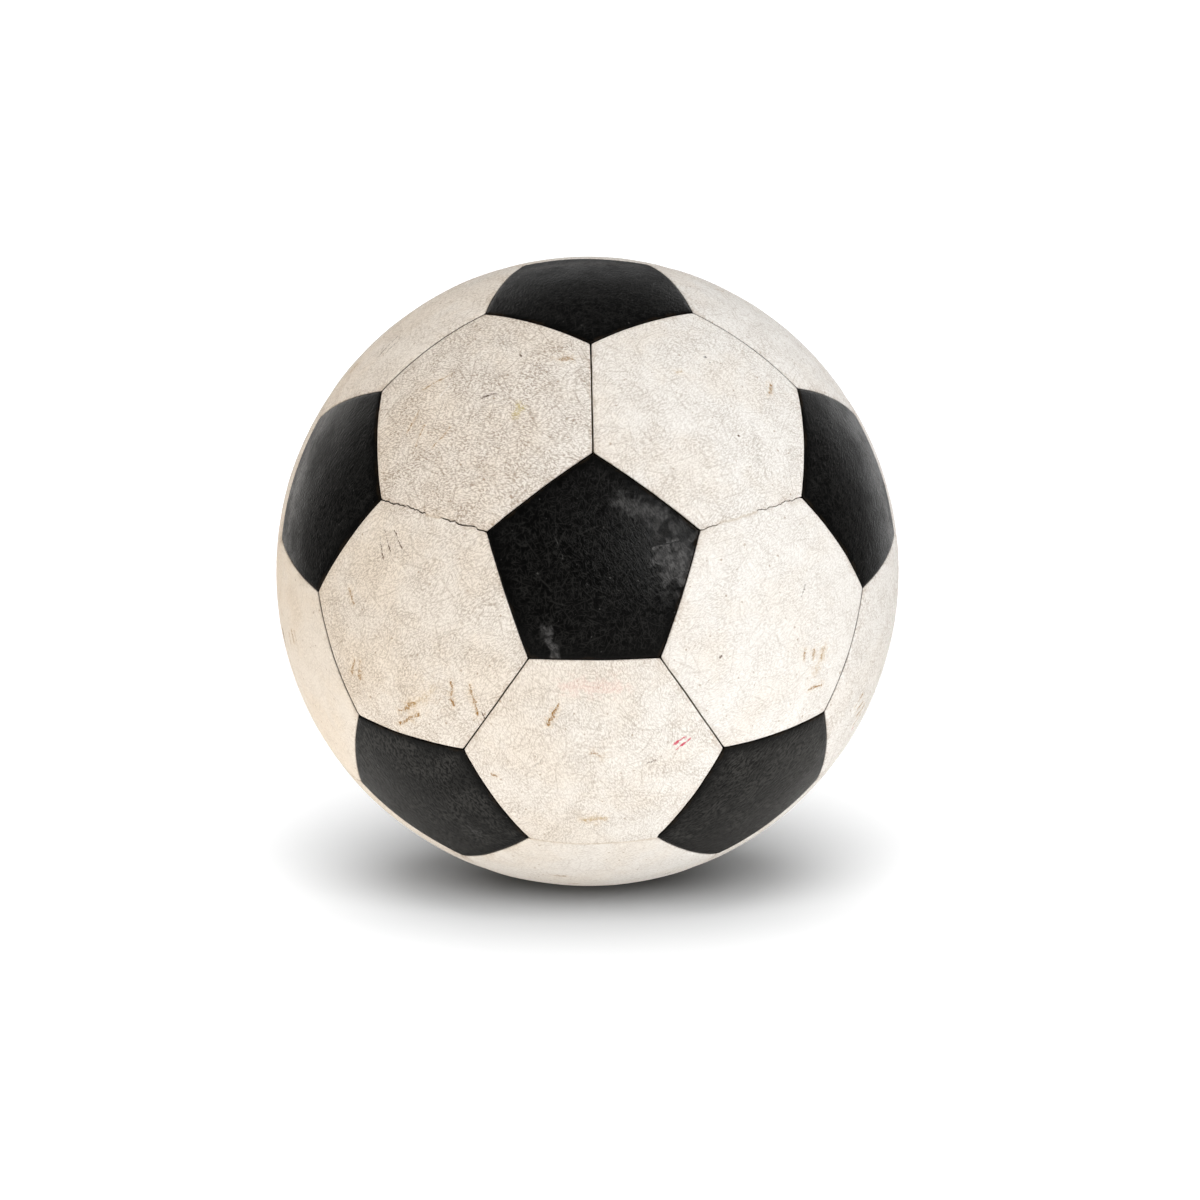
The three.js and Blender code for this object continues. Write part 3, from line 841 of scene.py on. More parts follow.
SCUFFS_AND_SHEENS = {
    "white_hexagon_front_5": (
        Scuffs(DARK, 1, 25, 5, 1.5, width=0.9, strength=0.8),
        Scuffs(BROWN, 2, 35, 3, 5, width=1.8, strength=0.5),
        Scuffs(BROWN, 10.5, 20, 2.5, 10, width=0.75, strength=0.5),
        Scuffs(DARK, 1.5, 5, 2.5, 6, width=0.9, strength=0.75),
        Scuffs(OLIVE, 3.5, 15, 6, 2, width=5.4, strength=0.6, broken=0.5),
        Scuffs(BROWN, 8.5, 20, 1, 9, count=3, width=0.55, strength=0.5, apart=7),
        Scuffs(PALE, 10, 15, 1, 12, width=0.55, strength=0.5),
    ),
    "white_hexagon_front_1": (
        Scuffs(BLACK, 12.5, 20, 2, 0.3, count=2, width=0.9, strength=0.85, apart=3, broken=0),
        Scuffs(BROWN, 2, 30, 1, 5, width=1.4),
        Scuffs(DARK, 4.5, 15, 1, 0.3, width=0.7, strength=0.65, broken=0),
        Scuffs(OCHRE, 11, 15, 2, 1.5, strength=0.35),
        Scuffs(GREY, 4, 20, 6, 15, width=3.5, strength=0.18, broken=0.6),
    ),
    "white_hexagon_front_2": (
        Scuffs(DARK, 8.5, 25, 2, 1, width=0.9, strength=0.8, broken=0),
        Scuffs(DARK, 1.5, 15, 1, 4, width=0.7, strength=0.5),
        Scuffs(BROWN, 4, 20, 12, 4, count=3, strength=0.5),
        Scuffs(BROWN, 4.5, 30, 3, 8, width=1, strength=0.7),
        Scuffs(OCHRE, 4, 25, 1, 8, width=4, strength=0.25, broken=0.5),
    ),
    "white_hexagon_front_3": (
        Scuffs(BROWN, 11, 25, 6.5, 8, width=1.4, strength=0.7),
        Scuffs(RED, 2.5, 30, 1.5, 6, count=2, width=1, strength=0.95, apart=2, broken=0.1),
        Scuffs(PINK, 12, 30, 3, 20, width=8, strength=0.25),
        Scuffs(OCHRE, 6, 25, 3, 8, width=2.2, strength=0.45),
        Scuffs(BROWN, 8.5, 35, 3, 2, strength=0.5),
        Scuffs(BROWN, 12, 5, 4, 4, width=1.6, strength=0.4),
        Scuffs(DARK, 3, 20, 2, 3, width=0.7, strength=0.5),
        Scuffs(GREY, 9, 20, 1, 10, width=0.5, strength=0.35),
    ),
    "white_hexagon_front_4": (
        Scuffs(DARK, 11.5, 30, 5, 9, count=3, width=0.45, strength=0.65, broken=0.15),
        Scuffs(BROWN, 9.5, 25, 11, 6, width=1.5, strength=0.45),
        Scuffs(BROWN, 8, 30, 7, 6, count=2, width=1.3, strength=0.5),
        Scuffs(BROWN, 6.5, 30, 2.5, 10, count=2, width=1.6, apart=5),
        Scuffs(BROWN, 4.5, 30, 6, 10, count=2, strength=0.65, apart=6),
        Scuffs(DARK, 4.5, 40, 6, 3, width=1, strength=0.7),
        Scuffs(OCHRE, 6, 25, 2, 12, width=4, strength=0.25, broken=0.5),
    ),
    "white_hexagon_fore_1": (Scuffs(BROWN, 9, 20, 4, 2, width=1, strength=0.5),),
    "white_hexagon_fore_2": (
        Scuffs(BROWN, 9, 20, 3, 5, count=4, width=1.1),
        Scuffs(RED, 8, 25, 3, 0.5, width=1.1, strength=0.7),
    ),
    "white_hexagon_fore_3": (
        Scuffs(BROWN, 11, 10, 1, 4, count=2, strength=0.4, apart=15),
        Scuffs(GREY, 4, 25, 2, 4, width=1.8, strength=0.5),
    ),
    "white_hexagon_fore_4": (
        Scuffs(DARK, 9, 15, 5.5, 6, width=2.4, strength=0.8),
        Scuffs(BROWN, 2, 15, 12, 4, count=3, width=0.8),
    ),
    "white_hexagon_fore_5": (
        Scuffs(DARK, 5, 20, 12, 10, count=2, width=0.6),
        Scuffs(OCHRE, 7, 25, 3, 4, width=1.8, strength=0.4),
    ),
    # On the black pentagons the broad grey marks paint sheen and highlights: on the front one a sheen at the
    # right and along the upper-right edge, a highlight along the lower-left edge and one beside a dark line;
    # on those round it, sheen along their edges.
    "black_pentagon_front": (
        Scuffs(RUB_AND_SHEEN, 3, 30, 12, 3, width=22, strength=0.5, broken=0),
        Scuffs(RUB_AND_SHEEN, 3, 25, 12, 5, width=12, strength=0.3, broken=0),
        Scuffs(RUB_AND_SHEEN, 1.5, 25, 4, 15, width=9, strength=0.4, broken=0.05),
        Scuffs(RUB_AND_SHEEN, 2.5, 25, 2.5, 10, width=1.5, strength=0.55, broken=0.1),
        Scuffs(JET, 2.5, 25, 2.5, 10, width=0.6, strength=0.85, broken=0),
        Scuffs(PALE, 10, 15, 5, 12, width=0.35, strength=0.03),
        Scuffs(RUB_AND_SHEEN, 7, 30, 11.5, 12, width=4.2, strength=0.5, broken=0.1),
    ),
    "black_pentagon_fore_5": (Scuffs(RUB_AND_SHEEN, 9.5, 20, 12.5, 45, width=13, strength=0.55, broken=0.1),),
    "black_pentagon_fore_1": (Scuffs(DARK_RUB_AND_SHEEN, 12, 20, 3, 50, width=9, strength=0.7, broken=0.1),),
    "black_pentagon_fore_2": (Scuffs(DARK_RUB_AND_SHEEN, 2.5, 20, 5.5, 35, width=13, strength=0.5, broken=0.1),),
    "black_pentagon_fore_3": (Scuffs(JET, 8, 15, 9, 25, width=0.6, strength=0.85, broken=0.1),),
    "black_pentagon_fore_4": (Scuffs(RUB_AND_SHEEN, 4, 20, 12, 5, width=8, strength=0.2, broken=0.1),),
}


def marks_of(panel):
    """A panel's own marks, or for the panels at the sides and the back a few scuffs at random."""
    chance = random.Random("marks of " + panel.node)
    if panel.node in SCUFFS_AND_SHEENS or panel.out.z > TOWARDS_THE_BACK:
        return [mark for scuffs in SCUFFS_AND_SHEENS.get(panel.node, ()) for mark in scuffs.strokes(panel, chance)]
    white = panel.shape is HEXAGON
    marks = []
    for _ in range(11 if white else 5):
        x, y = chance.uniform(-SCUFFED_X, SCUFFED_X), chance.uniform(-SCUFFED_Y, SCUFFED_Y)
        turn = chance.uniform(0, TAU)
        run, width = chance.choice((0.3, 1.5, 4, 7, 11)), chance.uniform(0.6, 1.7)
        tint = chance.choice((BROWN, BROWN, DARK, GREY, OCHRE) if white else (RUB_AND_SHEEN, DARK_RUB_AND_SHEEN, JET))
        end = (x + run * math.cos(turn), y + run * math.sin(turn))
        wide, clear = (1, 1) if white else (2.5, 0.45)
        strength = clear * chance.uniform(0.35, 0.75)
        marks.append(Mark(tint, (x, y), end, width * wide, strength, chance.uniform(0, 0.5), 1, 0.45))
    return marks


def paint_marks(tree, base, place, marks, hold):
    """Lays the marks over the base colour where the grain holds them, and returns it and their whole mask."""
    covered = None
    for mark in marks:
        painted = tree.group(
            shared("mark"),
            place=place,
            start=(*mark.start, 0),
            end=(*mark.end, 0),
            width=mark.width,
            taper=mark.taper,
            ragged=mark.ragged,
            broken=mark.broken,
        )
        if mark.tint in (BROWN, OCHRE):
            base = tree.mix(tree.math("MULTIPLY", painted["Stain"], 0.4 * mark.strength), base, STAIN)
        held = tree.math("MULTIPLY", hold, mark.strength)
        mask = tree.math("MULTIPLY", painted["Mask"], held, use_clamp=True)
        base = tree.mix(mask, base, mark.tint)
        covered = mask if covered is None else tree.math("MAXIMUM", covered, mask)
    return base, covered


# ---- Materials ---------------------------------------------------------------------------------------------


# How dirty a white panel is against the usual. For the upper-left front hexagon the large value is dirt and
# painted shade, darkening that side of the ball.
SOILED_AND_SHADED = {
    "white_hexagon_front_5": 1.6,
    "white_hexagon_front_4": 1.15,
    "white_hexagon_front_3": 1.0,
    "white_hexagon_front_2": 0.75,
    "white_hexagon_front_1": 0.95,
    "white_hexagon_fore_1": 0.9,
    "white_hexagon_fore_3": 0.6,
    "white_hexagon_fore_4": 0.5,
}


def white_leather(panel, colours):
    """White coated leather, yellowed and soiled, with painted warm shade towards the ball's left, painted
    shade deep in the seams and the panel's own marks.
    """
    material, tree, shader = new_material(f"white_leather_{panel.node}")
    place, grain_place, state = (attribute(tree, name) for name in (LEATHER_PLACE, GRAIN_PLACE, SEAM_STATE))
    # Soiling, which on the upper-left front hexagon also paints shade.
    soiled = SOILED_AND_SHADED.get(panel.node, 1.0)
    grain = tree.group(shared("grain"), place=grain_place, cell=0.62)
    across = tree.node("ShaderNodeSeparateXYZ", {"Vector": object_millimetres(tree)}).outputs["X"]
    tone = tree.group(shared("blotches"), place=grain_place, size=30.0, share=0.45, soft=0.2)["Mask"]
    # Darker and warmer towards the ball's left: painted warm shade on that side, with the coating's random
    # tone added to it.
    painted_left_shade = tree.ramp(across, 65.0, -110.0, 0.0, 0.76, smooth=False)
    aged_and_left_shade = tree.math("ADD", painted_left_shade, tree.ramp(tone, 0.0, 1.0, -0.10, 0.10))
    base = tree.mix(aged_and_left_shade, colours.white, colours.yellowed)
    soil = tree.group(shared("blotches"), place=grain_place, size=11.0, share=0.5, soft=0.2)["Mask"]
    in_grain = tree.math("MULTIPLY", grain["Crease"], tree.ramp(soil, 0.0, 1.0, 0.24 * soiled, 0.38 * soiled))
    base = tree.mix(in_grain, base, colours.grime)
    base = tree.mix(tree.math("MULTIPLY", soil, 0.05 * soiled), base, colours.grime)
    streaks = tree.group(shared("scratches"), place=grain_place, length=9.0, width=0.4, amount=0.25)["Mask"]
    base = tree.mix(tree.math("MULTIPLY", streaks, 0.2 * soiled), base, colours.grime)
    specks = tree.group(shared("specks"), place=grain_place, spacing=5.0, size=0.7)["Mask"]
    base = tree.mix(tree.math("MULTIPLY", specks, 0.5), base, colours.mud)
    dirt = tree.group(shared("seam_dirt_and_shade"), place=place, state=state, spread=2.2)
    base = tree.mix(tree.math("MULTIPLY", dirt["Beside"], 0.2), base, colours.mud)
    base = tree.mix(tree.math("MULTIPLY", dirt["Bridged"], 0.22), base, OCHRE)
    hold = tree.ramp(grain["Height"], 1.3, 0.9, 0.7, 1.5)
    base, covered = paint_marks(tree, base, place, marks_of(panel), hold)
    # Painted shade, near black, deep inside the seams.
    base = tree.mix(dirt["Inside"], base, (0.012, 0.009, 0.007))
    tree.feed(shader.inputs["Base Color"], base)
    roughness = tree.ramp(soil, 0.0, 1.0, 0.52, 0.66)
    if covered is not None:
        roughness = tree.math("ADD", roughness, tree.math("MULTIPLY", covered, 0.2))
    tree.feed(shader.inputs["Roughness"], roughness)
    bump = tree.node("ShaderNodeBump", {"Height": grain["Height"], "Strength": 0.8, "Distance": 0.00014})
    tree.feed(shader.inputs["Normal"], bump.outputs[0])
    shader.inputs["Specular IOR Level"].default_value = 0.35
    return material


# How rubbed a black panel is against the usual. The two lower pentagons' large values paint the floor's
# reflection on them, besides their rubbing.
RUBBED_AND_PAINTED_SHEEN = {
    "black_pentagon_front": 0.2,
    "black_pentagon_fore_5": 1.3,
    "black_pentagon_fore_1": 0.6,
    "black_pentagon_fore_2": 0.3,
    "black_pentagon_fore_3": 12.0,
    "black_pentagon_fore_4": 12.0,
}


def black_leather(panel, colours):
    """Black coated leather, rubbed and finely scratched, with painted sheen on the front pentagons, a painted
    reflection of the floor on the lower ones and painted shade deep in the seams.
    """
    material, tree, shader = new_material(f"black_leather_{panel.node}")
    place, grain_place, state = (attribute(tree, name) for name in (LEATHER_PLACE, GRAIN_PLACE, SEAM_STATE))
    grain = tree.group(shared("grain"), place=grain_place, cell=1.1)
    rubbed = tree.group(shared("blotches"), place=grain_place, size=14.0, share=0.4, soft=0.2)["Mask"]
    fine = tree.group(shared("scratches"), place=grain_place, length=1.9, width=0.21, amount=0.42)["Mask"]
    deep = tree.group(shared("scratches"), place=place, length=7.0, width=0.34, amount=0.1)["Mask"]
    tops = tree.math("SUBTRACT", 1.0, grain["Crease"])
    share = RUBBED_AND_PAINTED_SHEEN.get(panel.node, 1.0)
    # Rubbed patches on the grain's tops, which on the two lower pentagons paint the floor's reflection.
    worn = tree.math("MULTIPLY", tree.ramp(rubbed, 0.0, 1.0, 0.04 * share, 0.12 * share), tops)
    scratched = tree.math("MAXIMUM", tree.math("MULTIPLY", fine, 0.4), tree.math("MULTIPLY", deep, 0.4))
    inset = tree.node("ShaderNodeSeparateXYZ", {"Vector": place}).outputs["Z"]
    wear = tree.math("MULTIPLY", tree.math("MAXIMUM", worn, scratched), tree.ramp(inset, 0.3, 5.0, 0.15, 1.0))
    base = tree.mix(wear, colours.black, colours.rubbed)
    specks = tree.group(shared("specks"), place=grain_place, spacing=7.0, size=0.5)["Mask"]
    base = tree.mix(tree.math("MULTIPLY", specks, 0.05), base, PALE)
    dirt = tree.group(shared("seam_dirt_and_shade"), place=place, state=state, spread=1.0)
    base = tree.mix(tree.math("MULTIPLY", dirt["Beside"], 0.03), base, colours.mud)
    # The marks, painted sheen and painted highlights among them.
    base, _ = paint_marks(tree, base, place, marks_of(panel), tree.ramp(grain["Height"], 0.9, 1.3, 0.45, 1.2))
    # Painted shade, near black, deep inside the seams.
    base = tree.mix(dirt["Inside"], base, (0.002, 0.002, 0.002))
    tree.feed(shader.inputs["Base Color"], base)
    roughness = tree.math("ADD", tree.ramp(rubbed, 0.0, 1.0, 0.28, 0.4), tree.math("MULTIPLY", fine, 0.12))
    tree.feed(shader.inputs["Roughness"], roughness)
    height = tree.math("SUBTRACT", grain["Height"], tree.math("MULTIPLY", scratched, 0.3))
    bump = tree.node("ShaderNodeBump", {"Height": height, "Strength": 0.9, "Distance": 0.0001})
    tree.feed(shader.inputs["Normal"], bump.outputs[0])
    shader.inputs["Specular IOR Level"].default_value = 0.12
    return material


def object_millimetres(tree):
    place = tree.node("ShaderNodeTexCoord").outputs["Object"]
    return tree.scaled(place, 1000.0)


def latex(colours):
    material, tree, shader = new_material("bladder_latex")
    place = object_millimetres(tree)
    cloud = tree.noise(place, 0.08, 4.0, 0.6, "3D")
    fine = tree.noise(place, 1.4, 3.0, 0.6, "3D")
    tree.feed(shader.inputs["Base Color"], tree.mix(cloud, colours.latex, colours.grime))
    tree.feed(shader.inputs["Roughness"], tree.ramp(fine, 0.3, 0.7, 0.5, 0.72))
    bump = tree.node("ShaderNodeBump", {"Height": fine, "Strength": 0.4, "Distance": 0.00008})
    tree.feed(shader.inputs["Normal"], bump.outputs[0])
    return material


def valve_rubber(colours):
    material, tree, shader = new_material("valve_rubber")
    place = object_millimetres(tree)
    fine = tree.noise(place, 2.2, 4.0, 0.65, "3D")
    dust = tree.math("MULTIPLY", tree.ramp(fine, 0.45, 0.75), 0.5)
    tree.feed(shader.inputs["Base Color"], tree.mix(dust, colours.rubber, GREY))
    tree.feed(shader.inputs["Roughness"], tree.ramp(fine, 0.3, 0.7, 0.55, 0.8))
    bump = tree.node("ShaderNodeBump", {"Height": fine, "Strength": 0.5, "Distance": 0.00006})
    tree.feed(shader.inputs["Normal"], bump.outputs[0])
    return material


def woven(name, tint, dirt, pitch):
    """Plain-weave canvas or twisted thread."""
    material, tree, shader = new_material(name)
    place = object_millimetres(tree)
    split = tree.node("ShaderNodeSeparateXYZ", {"Vector": place}).outputs
    waves = [tree.math("SINE", tree.math("MULTIPLY", split[axis], TAU / pitch)) for axis in ("X", "Z")]
    weave = tree.math("MULTIPLY", waves[0], waves[1])
    soil = tree.noise(place, 0.5, 4.0, 0.65, "3D")
    base = tree.mix(tree.ramp(soil, 0.35, 0.7, 0.05, 0.7), tint, dirt)
    base = tree.mix(tree.ramp(weave, -1.0, 0.0, 0.5, 0.0), base, dirt)
    tree.feed(shader.inputs["Base Color"], base)
    tree.feed(shader.inputs["Roughness"], tree.ramp(soil, 0.3, 0.7, 0.75, 0.95))
    bump = tree.node("ShaderNodeBump", {"Height": weave, "Strength": 0.6, "Distance": 0.0001})
    tree.feed(shader.inputs["Normal"], bump.outputs[0])
    return material


# ---- Operators ---------------------------------------------------------------------------------------------


def add_panels(shape, leather, slot):
    sizes, colours = bpy.context.scene.football_sizes, bpy.context.scene.football_colours
    for panel in PANELS:
        if panel.shape is shape:
            add_piece(panel_mesh(panel, sizes), leather(panel, colours), slot, panel.node)


class FOOTBALL_OT_black_panels(bpy.types.Operator):
    """Adds the twelve black pentagons"""

    bl_idname = "football.black_panels"
    bl_label = "Black pentagons"

    def execute(self, context):
        add_panels(PENTAGON, black_leather, "black_leather")
        return {"FINISHED"}


class FOOTBALL_OT_white_panels(bpy.types.Operator):
    """Adds the twenty white hexagons"""

    bl_idname = "football.white_panels"
    bl_label = "White hexagons"

    def execute(self, context):
        add_panels(HEXAGON, white_leather, "white_leather")
        return {"FINISHED"}


def tube(mesh, path, radius, sides=6):
    """A closed round tube along a path of points."""
    rings = []
    for i, point in enumerate(path):
        tangent = (path[min(i + 1, len(path) - 1)] - path[max(i - 1, 0)]).normalized()
        outward = point.normalized()
        across = tangent.cross(outward).normalized()
        up = across.cross(tangent)
        turns = [TAU * k / sides for k in range(sides)]
        ring = [point + (across * math.cos(t) + up * math.sin(t)) * radius for t in turns]
        rings.append([mesh.verts.new(corner) for corner in ring])
    for one, other in zip(rings, rings[1:]):
        bridge(mesh, one, other)
    mesh.faces.new(rings[0])
    mesh.faces.new(reversed(rings[-1]))


def stitch_path(seam, sizes):
    """A running stitch along a seam, which passes to and fro through the two turned-in edges."""
    depth = sizes.radius - sizes.sheet - sizes.lip_depth * 0.6
    reach = sizes.lip_flare + sizes.lip_thickness + sizes.thread
    stitches = round(sizes.radius * seam.span / sizes.stitch) - 1
    steps = stitches * 8
    path = []
    for i in range(steps + 1):
        share = (i / steps) * 0.94 + 0.03
        point = Matrix.Rotation(seam.span * share, 3, seam.normal) @ seam.first
        wave = math.sin(math.pi * stitches * i / steps)
        side = math.copysign(abs(wave) ** 0.35, wave) * reach
        path.append(point * depth + seam.normal * side)
    return path


class FOOTBALL_OT_stitches(bpy.types.Operator):
    """Adds the waxed thread that runs through the panels' turned-in edges"""

    bl_idname = "football.stitches"
    bl_label = "Stitches"

    def execute(self, context):
        sizes, colours = context.scene.football_sizes, context.scene.football_colours
        to_ball = ball_matrix(sizes)
        mesh = bmesh.new()
        for seam in {id(seam): seam for seam in SEAMS.values()}.values():
            tube(mesh, [to_ball @ point for point in stitch_path(seam, sizes)], sizes.thread / 2)
        thread = woven("waxed_thread", colours.waxed, colours.grime, 0.5)
        add_piece(finish_mesh(mesh, "seam_stitches"), thread, "waxed_thread", "seam_thread")
        return {"FINISHED"}


def valve_matrix(sizes):
    """From the valve's axes, +Z outwards, to the ball's."""
    panel = next(panel for panel in PANELS if panel.node == VALVE_PANEL)
    return ball_matrix(sizes) @ panel.turn


def turned_piece(outline, matrix, name, segments=96):
    """A closed solid of revolution about +Z from (radius, height) points in mm. The outline starts and
    ends on the axis, or closes on itself."""
    mesh = bmesh.new()
    loops = []
    for radius, height in outline:
        if radius < 1e-6:
            loops.append([mesh.verts.new(matrix @ Vector((0, 0, height * MM)))])
            continue
        turns = [TAU * k / segments for k in range(segments)]
        ring = [Vector((radius * math.sin(t), radius * math.cos(t), height)) * MM for t in turns]
        loops.append([mesh.verts.new(matrix @ point) for point in ring])
    closing = [] if len(loops[0]) == 1 else [(loops[-1], loops[0])]
    for one, other in [*zip(loops, loops[1:]), *closing]:
        if len(one) == 1 or len(other) == 1:
            centre, ring = (one[0], other) if len(one) == 1 else (other[0], one)
            for i, vertex in enumerate(ring):
                mesh.faces.new((centre, vertex, ring[(i + 1) % segments]))
        else:
            bridge(mesh, one, other)
    return finish_mesh(mesh, name)


def arc(radius, start, end, steps):
    """Points on a circle about the origin, from one polar angle to another."""
    turns = [start + (end - start) * i / steps for i in range(steps + 1)]
    return [(radius * math.sin(t), radius * math.cos(t)) for t in turns]


def rounded(points, radius):
    """An outline's corners rounded, each by at most a third of its sides."""
    smooth = [points[0]]
    for before, corner, after in zip(points, points[1:], points[2:]):
        before, corner, after = (Vector(point) for point in (before, corner, after))
        back, on = before - corner, after - corner
        cut = min(radius, back.length / 3, on.length / 3)
        start, end = corner + back.normalized() * cut, corner + on.normalized() * cut
        for t in (0, 0.33, 0.67, 1):
            smooth.append(tuple(start * (1 - t) ** 2 + corner * 2 * t * (1 - t) + end * t * t))
    return [*smooth, points[-1]]


class FOOTBALL_OT_bladder(bpy.types.Operator):
    """Adds the latex bladder with its valve seat"""

    bl_idname = "football.bladder"
    bl_label = "Bladder"

    def execute(self, context):
        sizes, colours = context.scene.football_sizes, context.scene.football_colours
        outer, inner, bore = 102.5, 101.3, 2.7
        seat = math.asin(11 / outer)
        outline = arc(outer, math.pi, seat, 60)
        neck = [(11, 103.2), (11, 104.9), (4.2, 104.9), (4.2, 109.2), (bore, 109.2), (bore, 104)]
        outline += rounded(neck, 0.5)
        outline += [(bore, 99.2), (11, 99.2)]
        outline += arc(inner, math.asin(11 / inner), math.pi, 60)
        piece = turned_piece(outline, valve_matrix(sizes), "latex_bladder")
        add_piece(piece, latex(colours), "bladder_latex", "bladder")
        return {"FINISHED"}


class FOOTBALL_OT_valve(bpy.types.Operator):
    """Adds the valve's plug, and gives the patch behind the valve hole its canvas"""

    bl_idname = "football.valve"
    bl_label = "Valve"

    def execute(self, context):
        sizes, colours = context.scene.football_sizes, context.scene.football_colours
        body = [(0, 94.8), (2.4, 94.8), (4, 96.8), (4, 98.8), (2.4, 98.8), (2.4, 108.9)]
        face = [(1.9, 109.25), (1.5, 108.95), (1.25, 108.95), (0.55, 108.4), (0.45, 101.2), (0, 101.2)]
        plug = turned_piece(rounded(body + face, 0.4), valve_matrix(sizes), "valve_plug_rubber")
        add_piece(plug, valve_rubber(colours), "valve_rubber", "valve_plug")
        canvas = woven("patch_canvas", colours.canvas, colours.grime, 0.9)
        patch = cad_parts["valve_patch"]
        patch.data.materials.clear()
        patch.data.materials.append(canvas)
        return {"FINISHED"}


# How far the softboxes stand from the ball's middle, in metres.
SOFTBOX_DISTANCE = 1.2


def softbox(name, width, height, power, azimuth, elevation, tint=(1, 1, 1)):
    """A soft rectangular light that looks at the ball."""
    light = bpy.data.lights.new(name, "AREA")
    light.shape, light.size, light.size_y, light.energy, light.color = "RECTANGLE", width, height, power, tint
    lamp = bpy.data.objects.new(name, light)
    lamp.location = round_the_ball(azimuth, elevation, SOFTBOX_DISTANCE)
    lamp.rotation_mode = "QUATERNION"
    lamp.rotation_quaternion = (-lamp.location).to_track_quat("-Z", "Y")
    bpy.context.scene.collection.objects.link(lamp)
    return lamp


def floor_sun(name, strength, tilt, spread):
    """A very soft light on the floor from overhead, or with a tilt from the front or, below 0, the back."""
    light = bpy.data.lights.new(name, "SUN")
    light.energy, light.angle = strength, math.radians(spread)
    lamp = bpy.data.objects.new(name, light)
    lamp.rotation_euler = (math.radians(tilt), 0, 0)
    bpy.context.scene.collection.objects.link(lamp)
    return lamp


def round_the_ball(azimuth, elevation, distance):
    """A point at that distance, with azimuth 0 at the front and 90 degrees at the right."""
    a, e = math.radians(azimuth), math.radians(elevation)
    return Vector((math.sin(a) * math.cos(e), -math.cos(a) * math.cos(e), math.sin(e))) * distance


def light_only(lamp, floor, only_floor):
    """Lets a lamp light only the floor, or all but the floor, which then doesn't shade it either."""
    receivers = bpy.data.collections.new(f"{lamp.name}_receivers")
    receivers.objects.link(floor)
    receivers.collection_objects[0].light_linking.link_state = "INCLUDE" if only_floor else "EXCLUDE"
    lamp.light_linking.receiver_collection = receivers
    if not only_floor:
        lamp.light_linking.blocker_collection = receivers


# The softboxes that show as a sheen on the leather.
SHEEN_LIGHTS = ("key_softbox", "left_rim_softbox", "right_rim_softbox", "back_softbox")
# The soft lights over the floor: name, strength, tilt to the front and spread in degrees.
FLOOR_SUNS = (("overhead_light", 20, 0, 63), ("front_light", 42, 53, 59), ("back_light", 11.5, -53, 59))
# Half the floor's side, in metres.
FLOOR_HALF = 30
# Where the camera aims, in mm to the right of the ball's middle and below it, and its roll in degrees.
AIM_RIGHT, AIM_DOWN, CAMERA_ROLL = 4.4, 10.1, -0.18


def add_floor(stage, level):
    mesh = bmesh.new()
    corners = ((-1, -1), (1, -1), (1, 1), (-1, 1))
    mesh.faces.new([mesh.verts.new((x * FLOOR_HALF, y * FLOOR_HALF, level)) for x, y in corners])
    floor = finish_mesh(mesh, "floor")
    material, tree, shader = new_material("pale_floor")
    away = tree.vector("LENGTH", tree.node("ShaderNodeTexCoord").outputs["Object"])
    bounce = tree.mix(tree.ramp(away, 0.2, 0.55), stage.floor_bounce, (0.005, 0.005, 0.005))
    seen = tree.node("ShaderNodeLightPath").outputs["Is Camera Ray"]
    tree.feed(shader.inputs["Base Color"], tree.mix(seen, bounce, stage.floor))
    shader.inputs["Roughness"].default_value = 1
    shader.inputs["Specular IOR Level"].default_value = 0
    floor.data.materials.append(material)
    floor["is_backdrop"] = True
    return floor


def add_camera(stage):
    """The camera aims a little below and to the right of the ball's middle, with room for the shadow."""
    camera = bpy.data.cameras.new("camera")
    camera.lens, camera.sensor_width = 172, 36
    rig = bpy.data.objects.new("camera", camera)
    back = round_the_ball(math.degrees(stage.azimuth), math.degrees(stage.elevation), 1)
    right = Vector((0, 0, 1)).cross(back).normalized()
    up = back.cross(right)
    aim = right * AIM_RIGHT * MM - up * AIM_DOWN * MM
    rig.location = back * stage.distance
    look = (aim - rig.location).to_track_quat("-Z", "Y").to_matrix()
    rig.rotation_mode = "QUATERNION"
    rig.rotation_quaternion = (look @ Matrix.Rotation(math.radians(CAMERA_ROLL), 3, "Z")).to_quaternion()
    bpy.context.scene.collection.objects.link(rig)
    bpy.context.scene.camera = rig


def light_surround(strength):
    """White all round where the camera looks past the floor, and a soft even light from everywhere."""
    world = bpy.data.worlds.new("studio")
    world.use_nodes = True
    tree = Tree(world.node_tree)
    background = world.node_tree.nodes["Background"]
    seen = tree.node("ShaderNodeLightPath").outputs["Is Camera Ray"]
    tree.feed(background.inputs["Strength"], tree.ramp(seen, 0.0, 1.0, strength, 1.2, smooth=False))
    background.inputs["Color"].default_value = (1, 1, 1, 1)
    bpy.context.scene.world = world


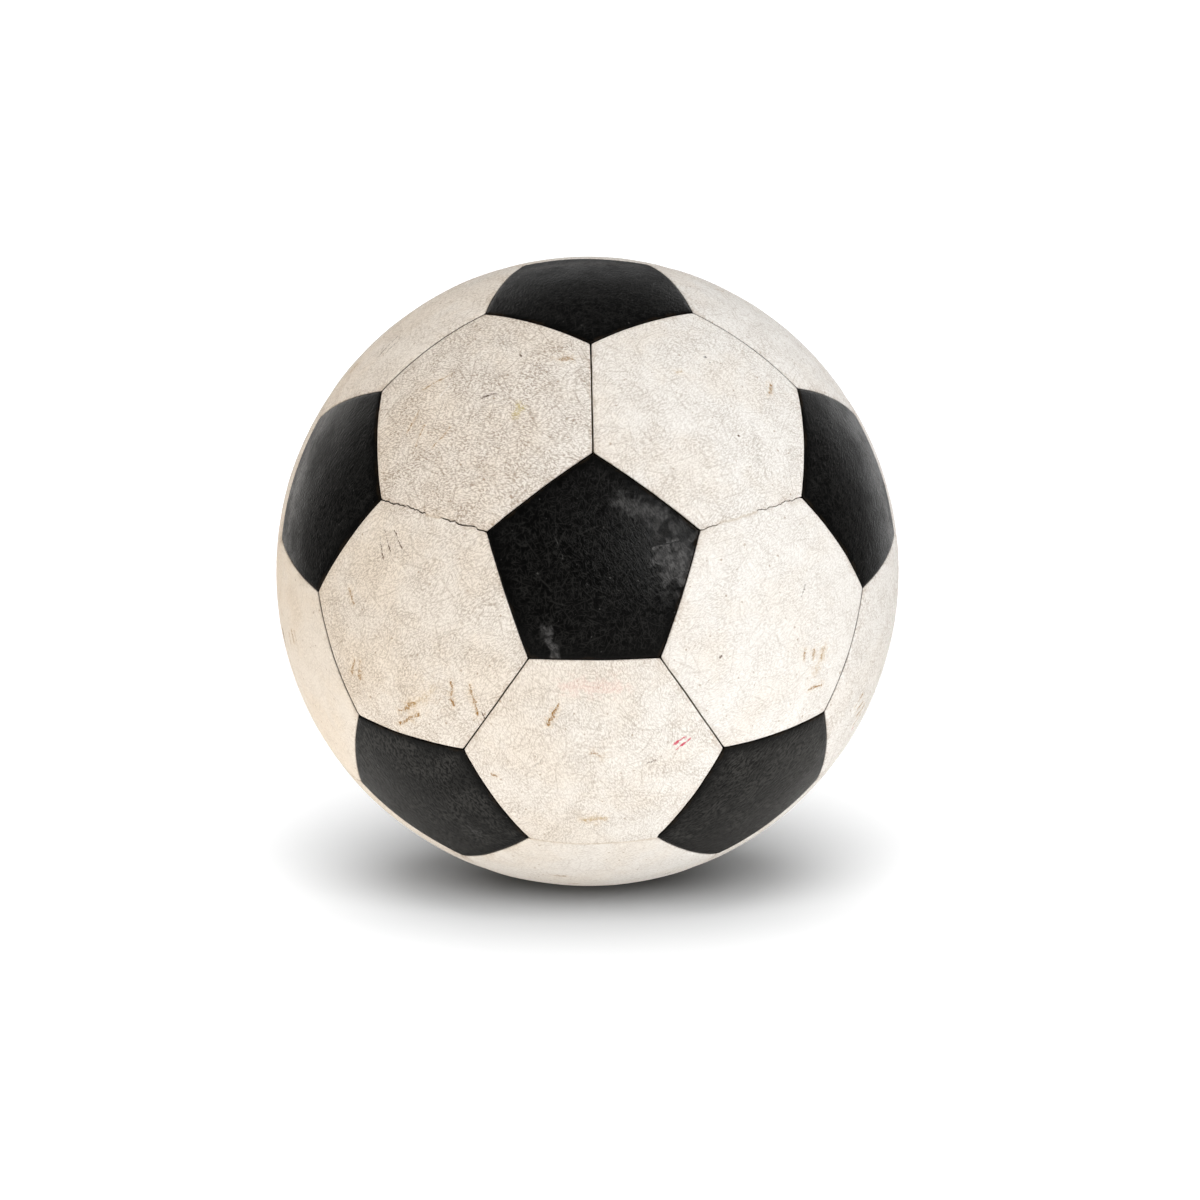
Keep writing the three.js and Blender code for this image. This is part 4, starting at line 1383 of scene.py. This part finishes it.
class FOOTBALL_OT_stage(bpy.types.Operator):
    """Adds the pale floor, the studio lights and the camera"""

    bl_idname = "football.stage"
    bl_label = "Stage"

    def execute(self, context):
        stage = context.scene.football_stage
        floor = add_floor(stage, CAD_BOX[0].z)
        for name, strength, tilt, spread in FLOOR_SUNS:
            light_only(floor_sun(name, strength * stage.floor_light, tilt, spread), floor, True)
        boxes = (
            softbox("key_softbox", 0.45, 0.6, stage.key, 31, 20),
            softbox("front_softbox", 1.2, 1.2, stage.front, 10, 20),
            softbox("left_softbox", 0.9, 1.2, stage.left, -78, 2, stage.warm),
            softbox("right_softbox", 0.9, 1.2, stage.right, 80, 2),
            softbox("left_rim_softbox", 0.6, 1.2, stage.rim, -147, 15, stage.warm),
            softbox("right_rim_softbox", 0.6, 1.2, stage.rim, 147, 15),
            softbox("back_softbox", 0.9, 0.4, stage.back, -166, 30),
            softbox("top_softbox", 1.2, 0.8, stage.top, 0, 65),
            softbox("bounce_softbox", 1.4, 1.0, stage.bounce, 0, -62),
        )
        for lamp in boxes:
            light_only(lamp, floor, False)
            lamp.visible_glossy = lamp.name in SHEEN_LIGHTS
        light_surround(stage.surround)
        add_camera(stage)
        context.scene.view_settings.view_transform = "Standard"
        return {"FINISHED"}


class FOOTBALL_PT_parts(bpy.types.Panel):
    """The football's pieces in the sidebar"""

    bl_idname = "FOOTBALL_PT_parts"
    bl_label = "Football"
    bl_space_type = "VIEW_3D"
    bl_region_type = "UI"
    bl_category = "Football"

    def draw(self, context):
        for operator in OPERATORS:
            self.layout.operator(operator.bl_idname)
        scene = context.scene
        for group in (scene.football_sizes, scene.football_colours, scene.football_stage):
            box = self.layout.box()
            for name in group.__annotations__:
                box.prop(group, name)


OPERATORS = (
    FOOTBALL_OT_black_panels,
    FOOTBALL_OT_white_panels,
    FOOTBALL_OT_stitches,
    FOOTBALL_OT_bladder,
    FOOTBALL_OT_valve,
    FOOTBALL_OT_stage,
)
CLASSES = (FootballSizes, FootballColours, FootballStage, *OPERATORS, FOOTBALL_PT_parts)


def register():
    for made in CLASSES:
        bpy.utils.register_class(made)
    bpy.types.Scene.football_sizes = PointerProperty(type=FootballSizes)
    bpy.types.Scene.football_colours = PointerProperty(type=FootballColours)
    bpy.types.Scene.football_stage = PointerProperty(type=FootballStage)


def unregister():
    for name in ("football_sizes", "football_colours", "football_stage"):
        delattr(bpy.types.Scene, name)
    for made in reversed(CLASSES):
        bpy.utils.unregister_class(made)


def write_sizes():
    """The CAD model's box and the visual model's, in metres."""
    boxes = {"cad": CAD_BOX, "visual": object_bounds()}
    {name: [list(low), list(high)] for name, (low, high) in boxes.items()}


def main():
    register()
    bpy.ops.football.black_panels()
    bpy.ops.football.white_panels()
    bpy.ops.football.stitches()
    bpy.ops.football.bladder()
    bpy.ops.football.valve()
    bpy.ops.football.stage()
    write_sizes()


if __name__ == "__main__":
    main()
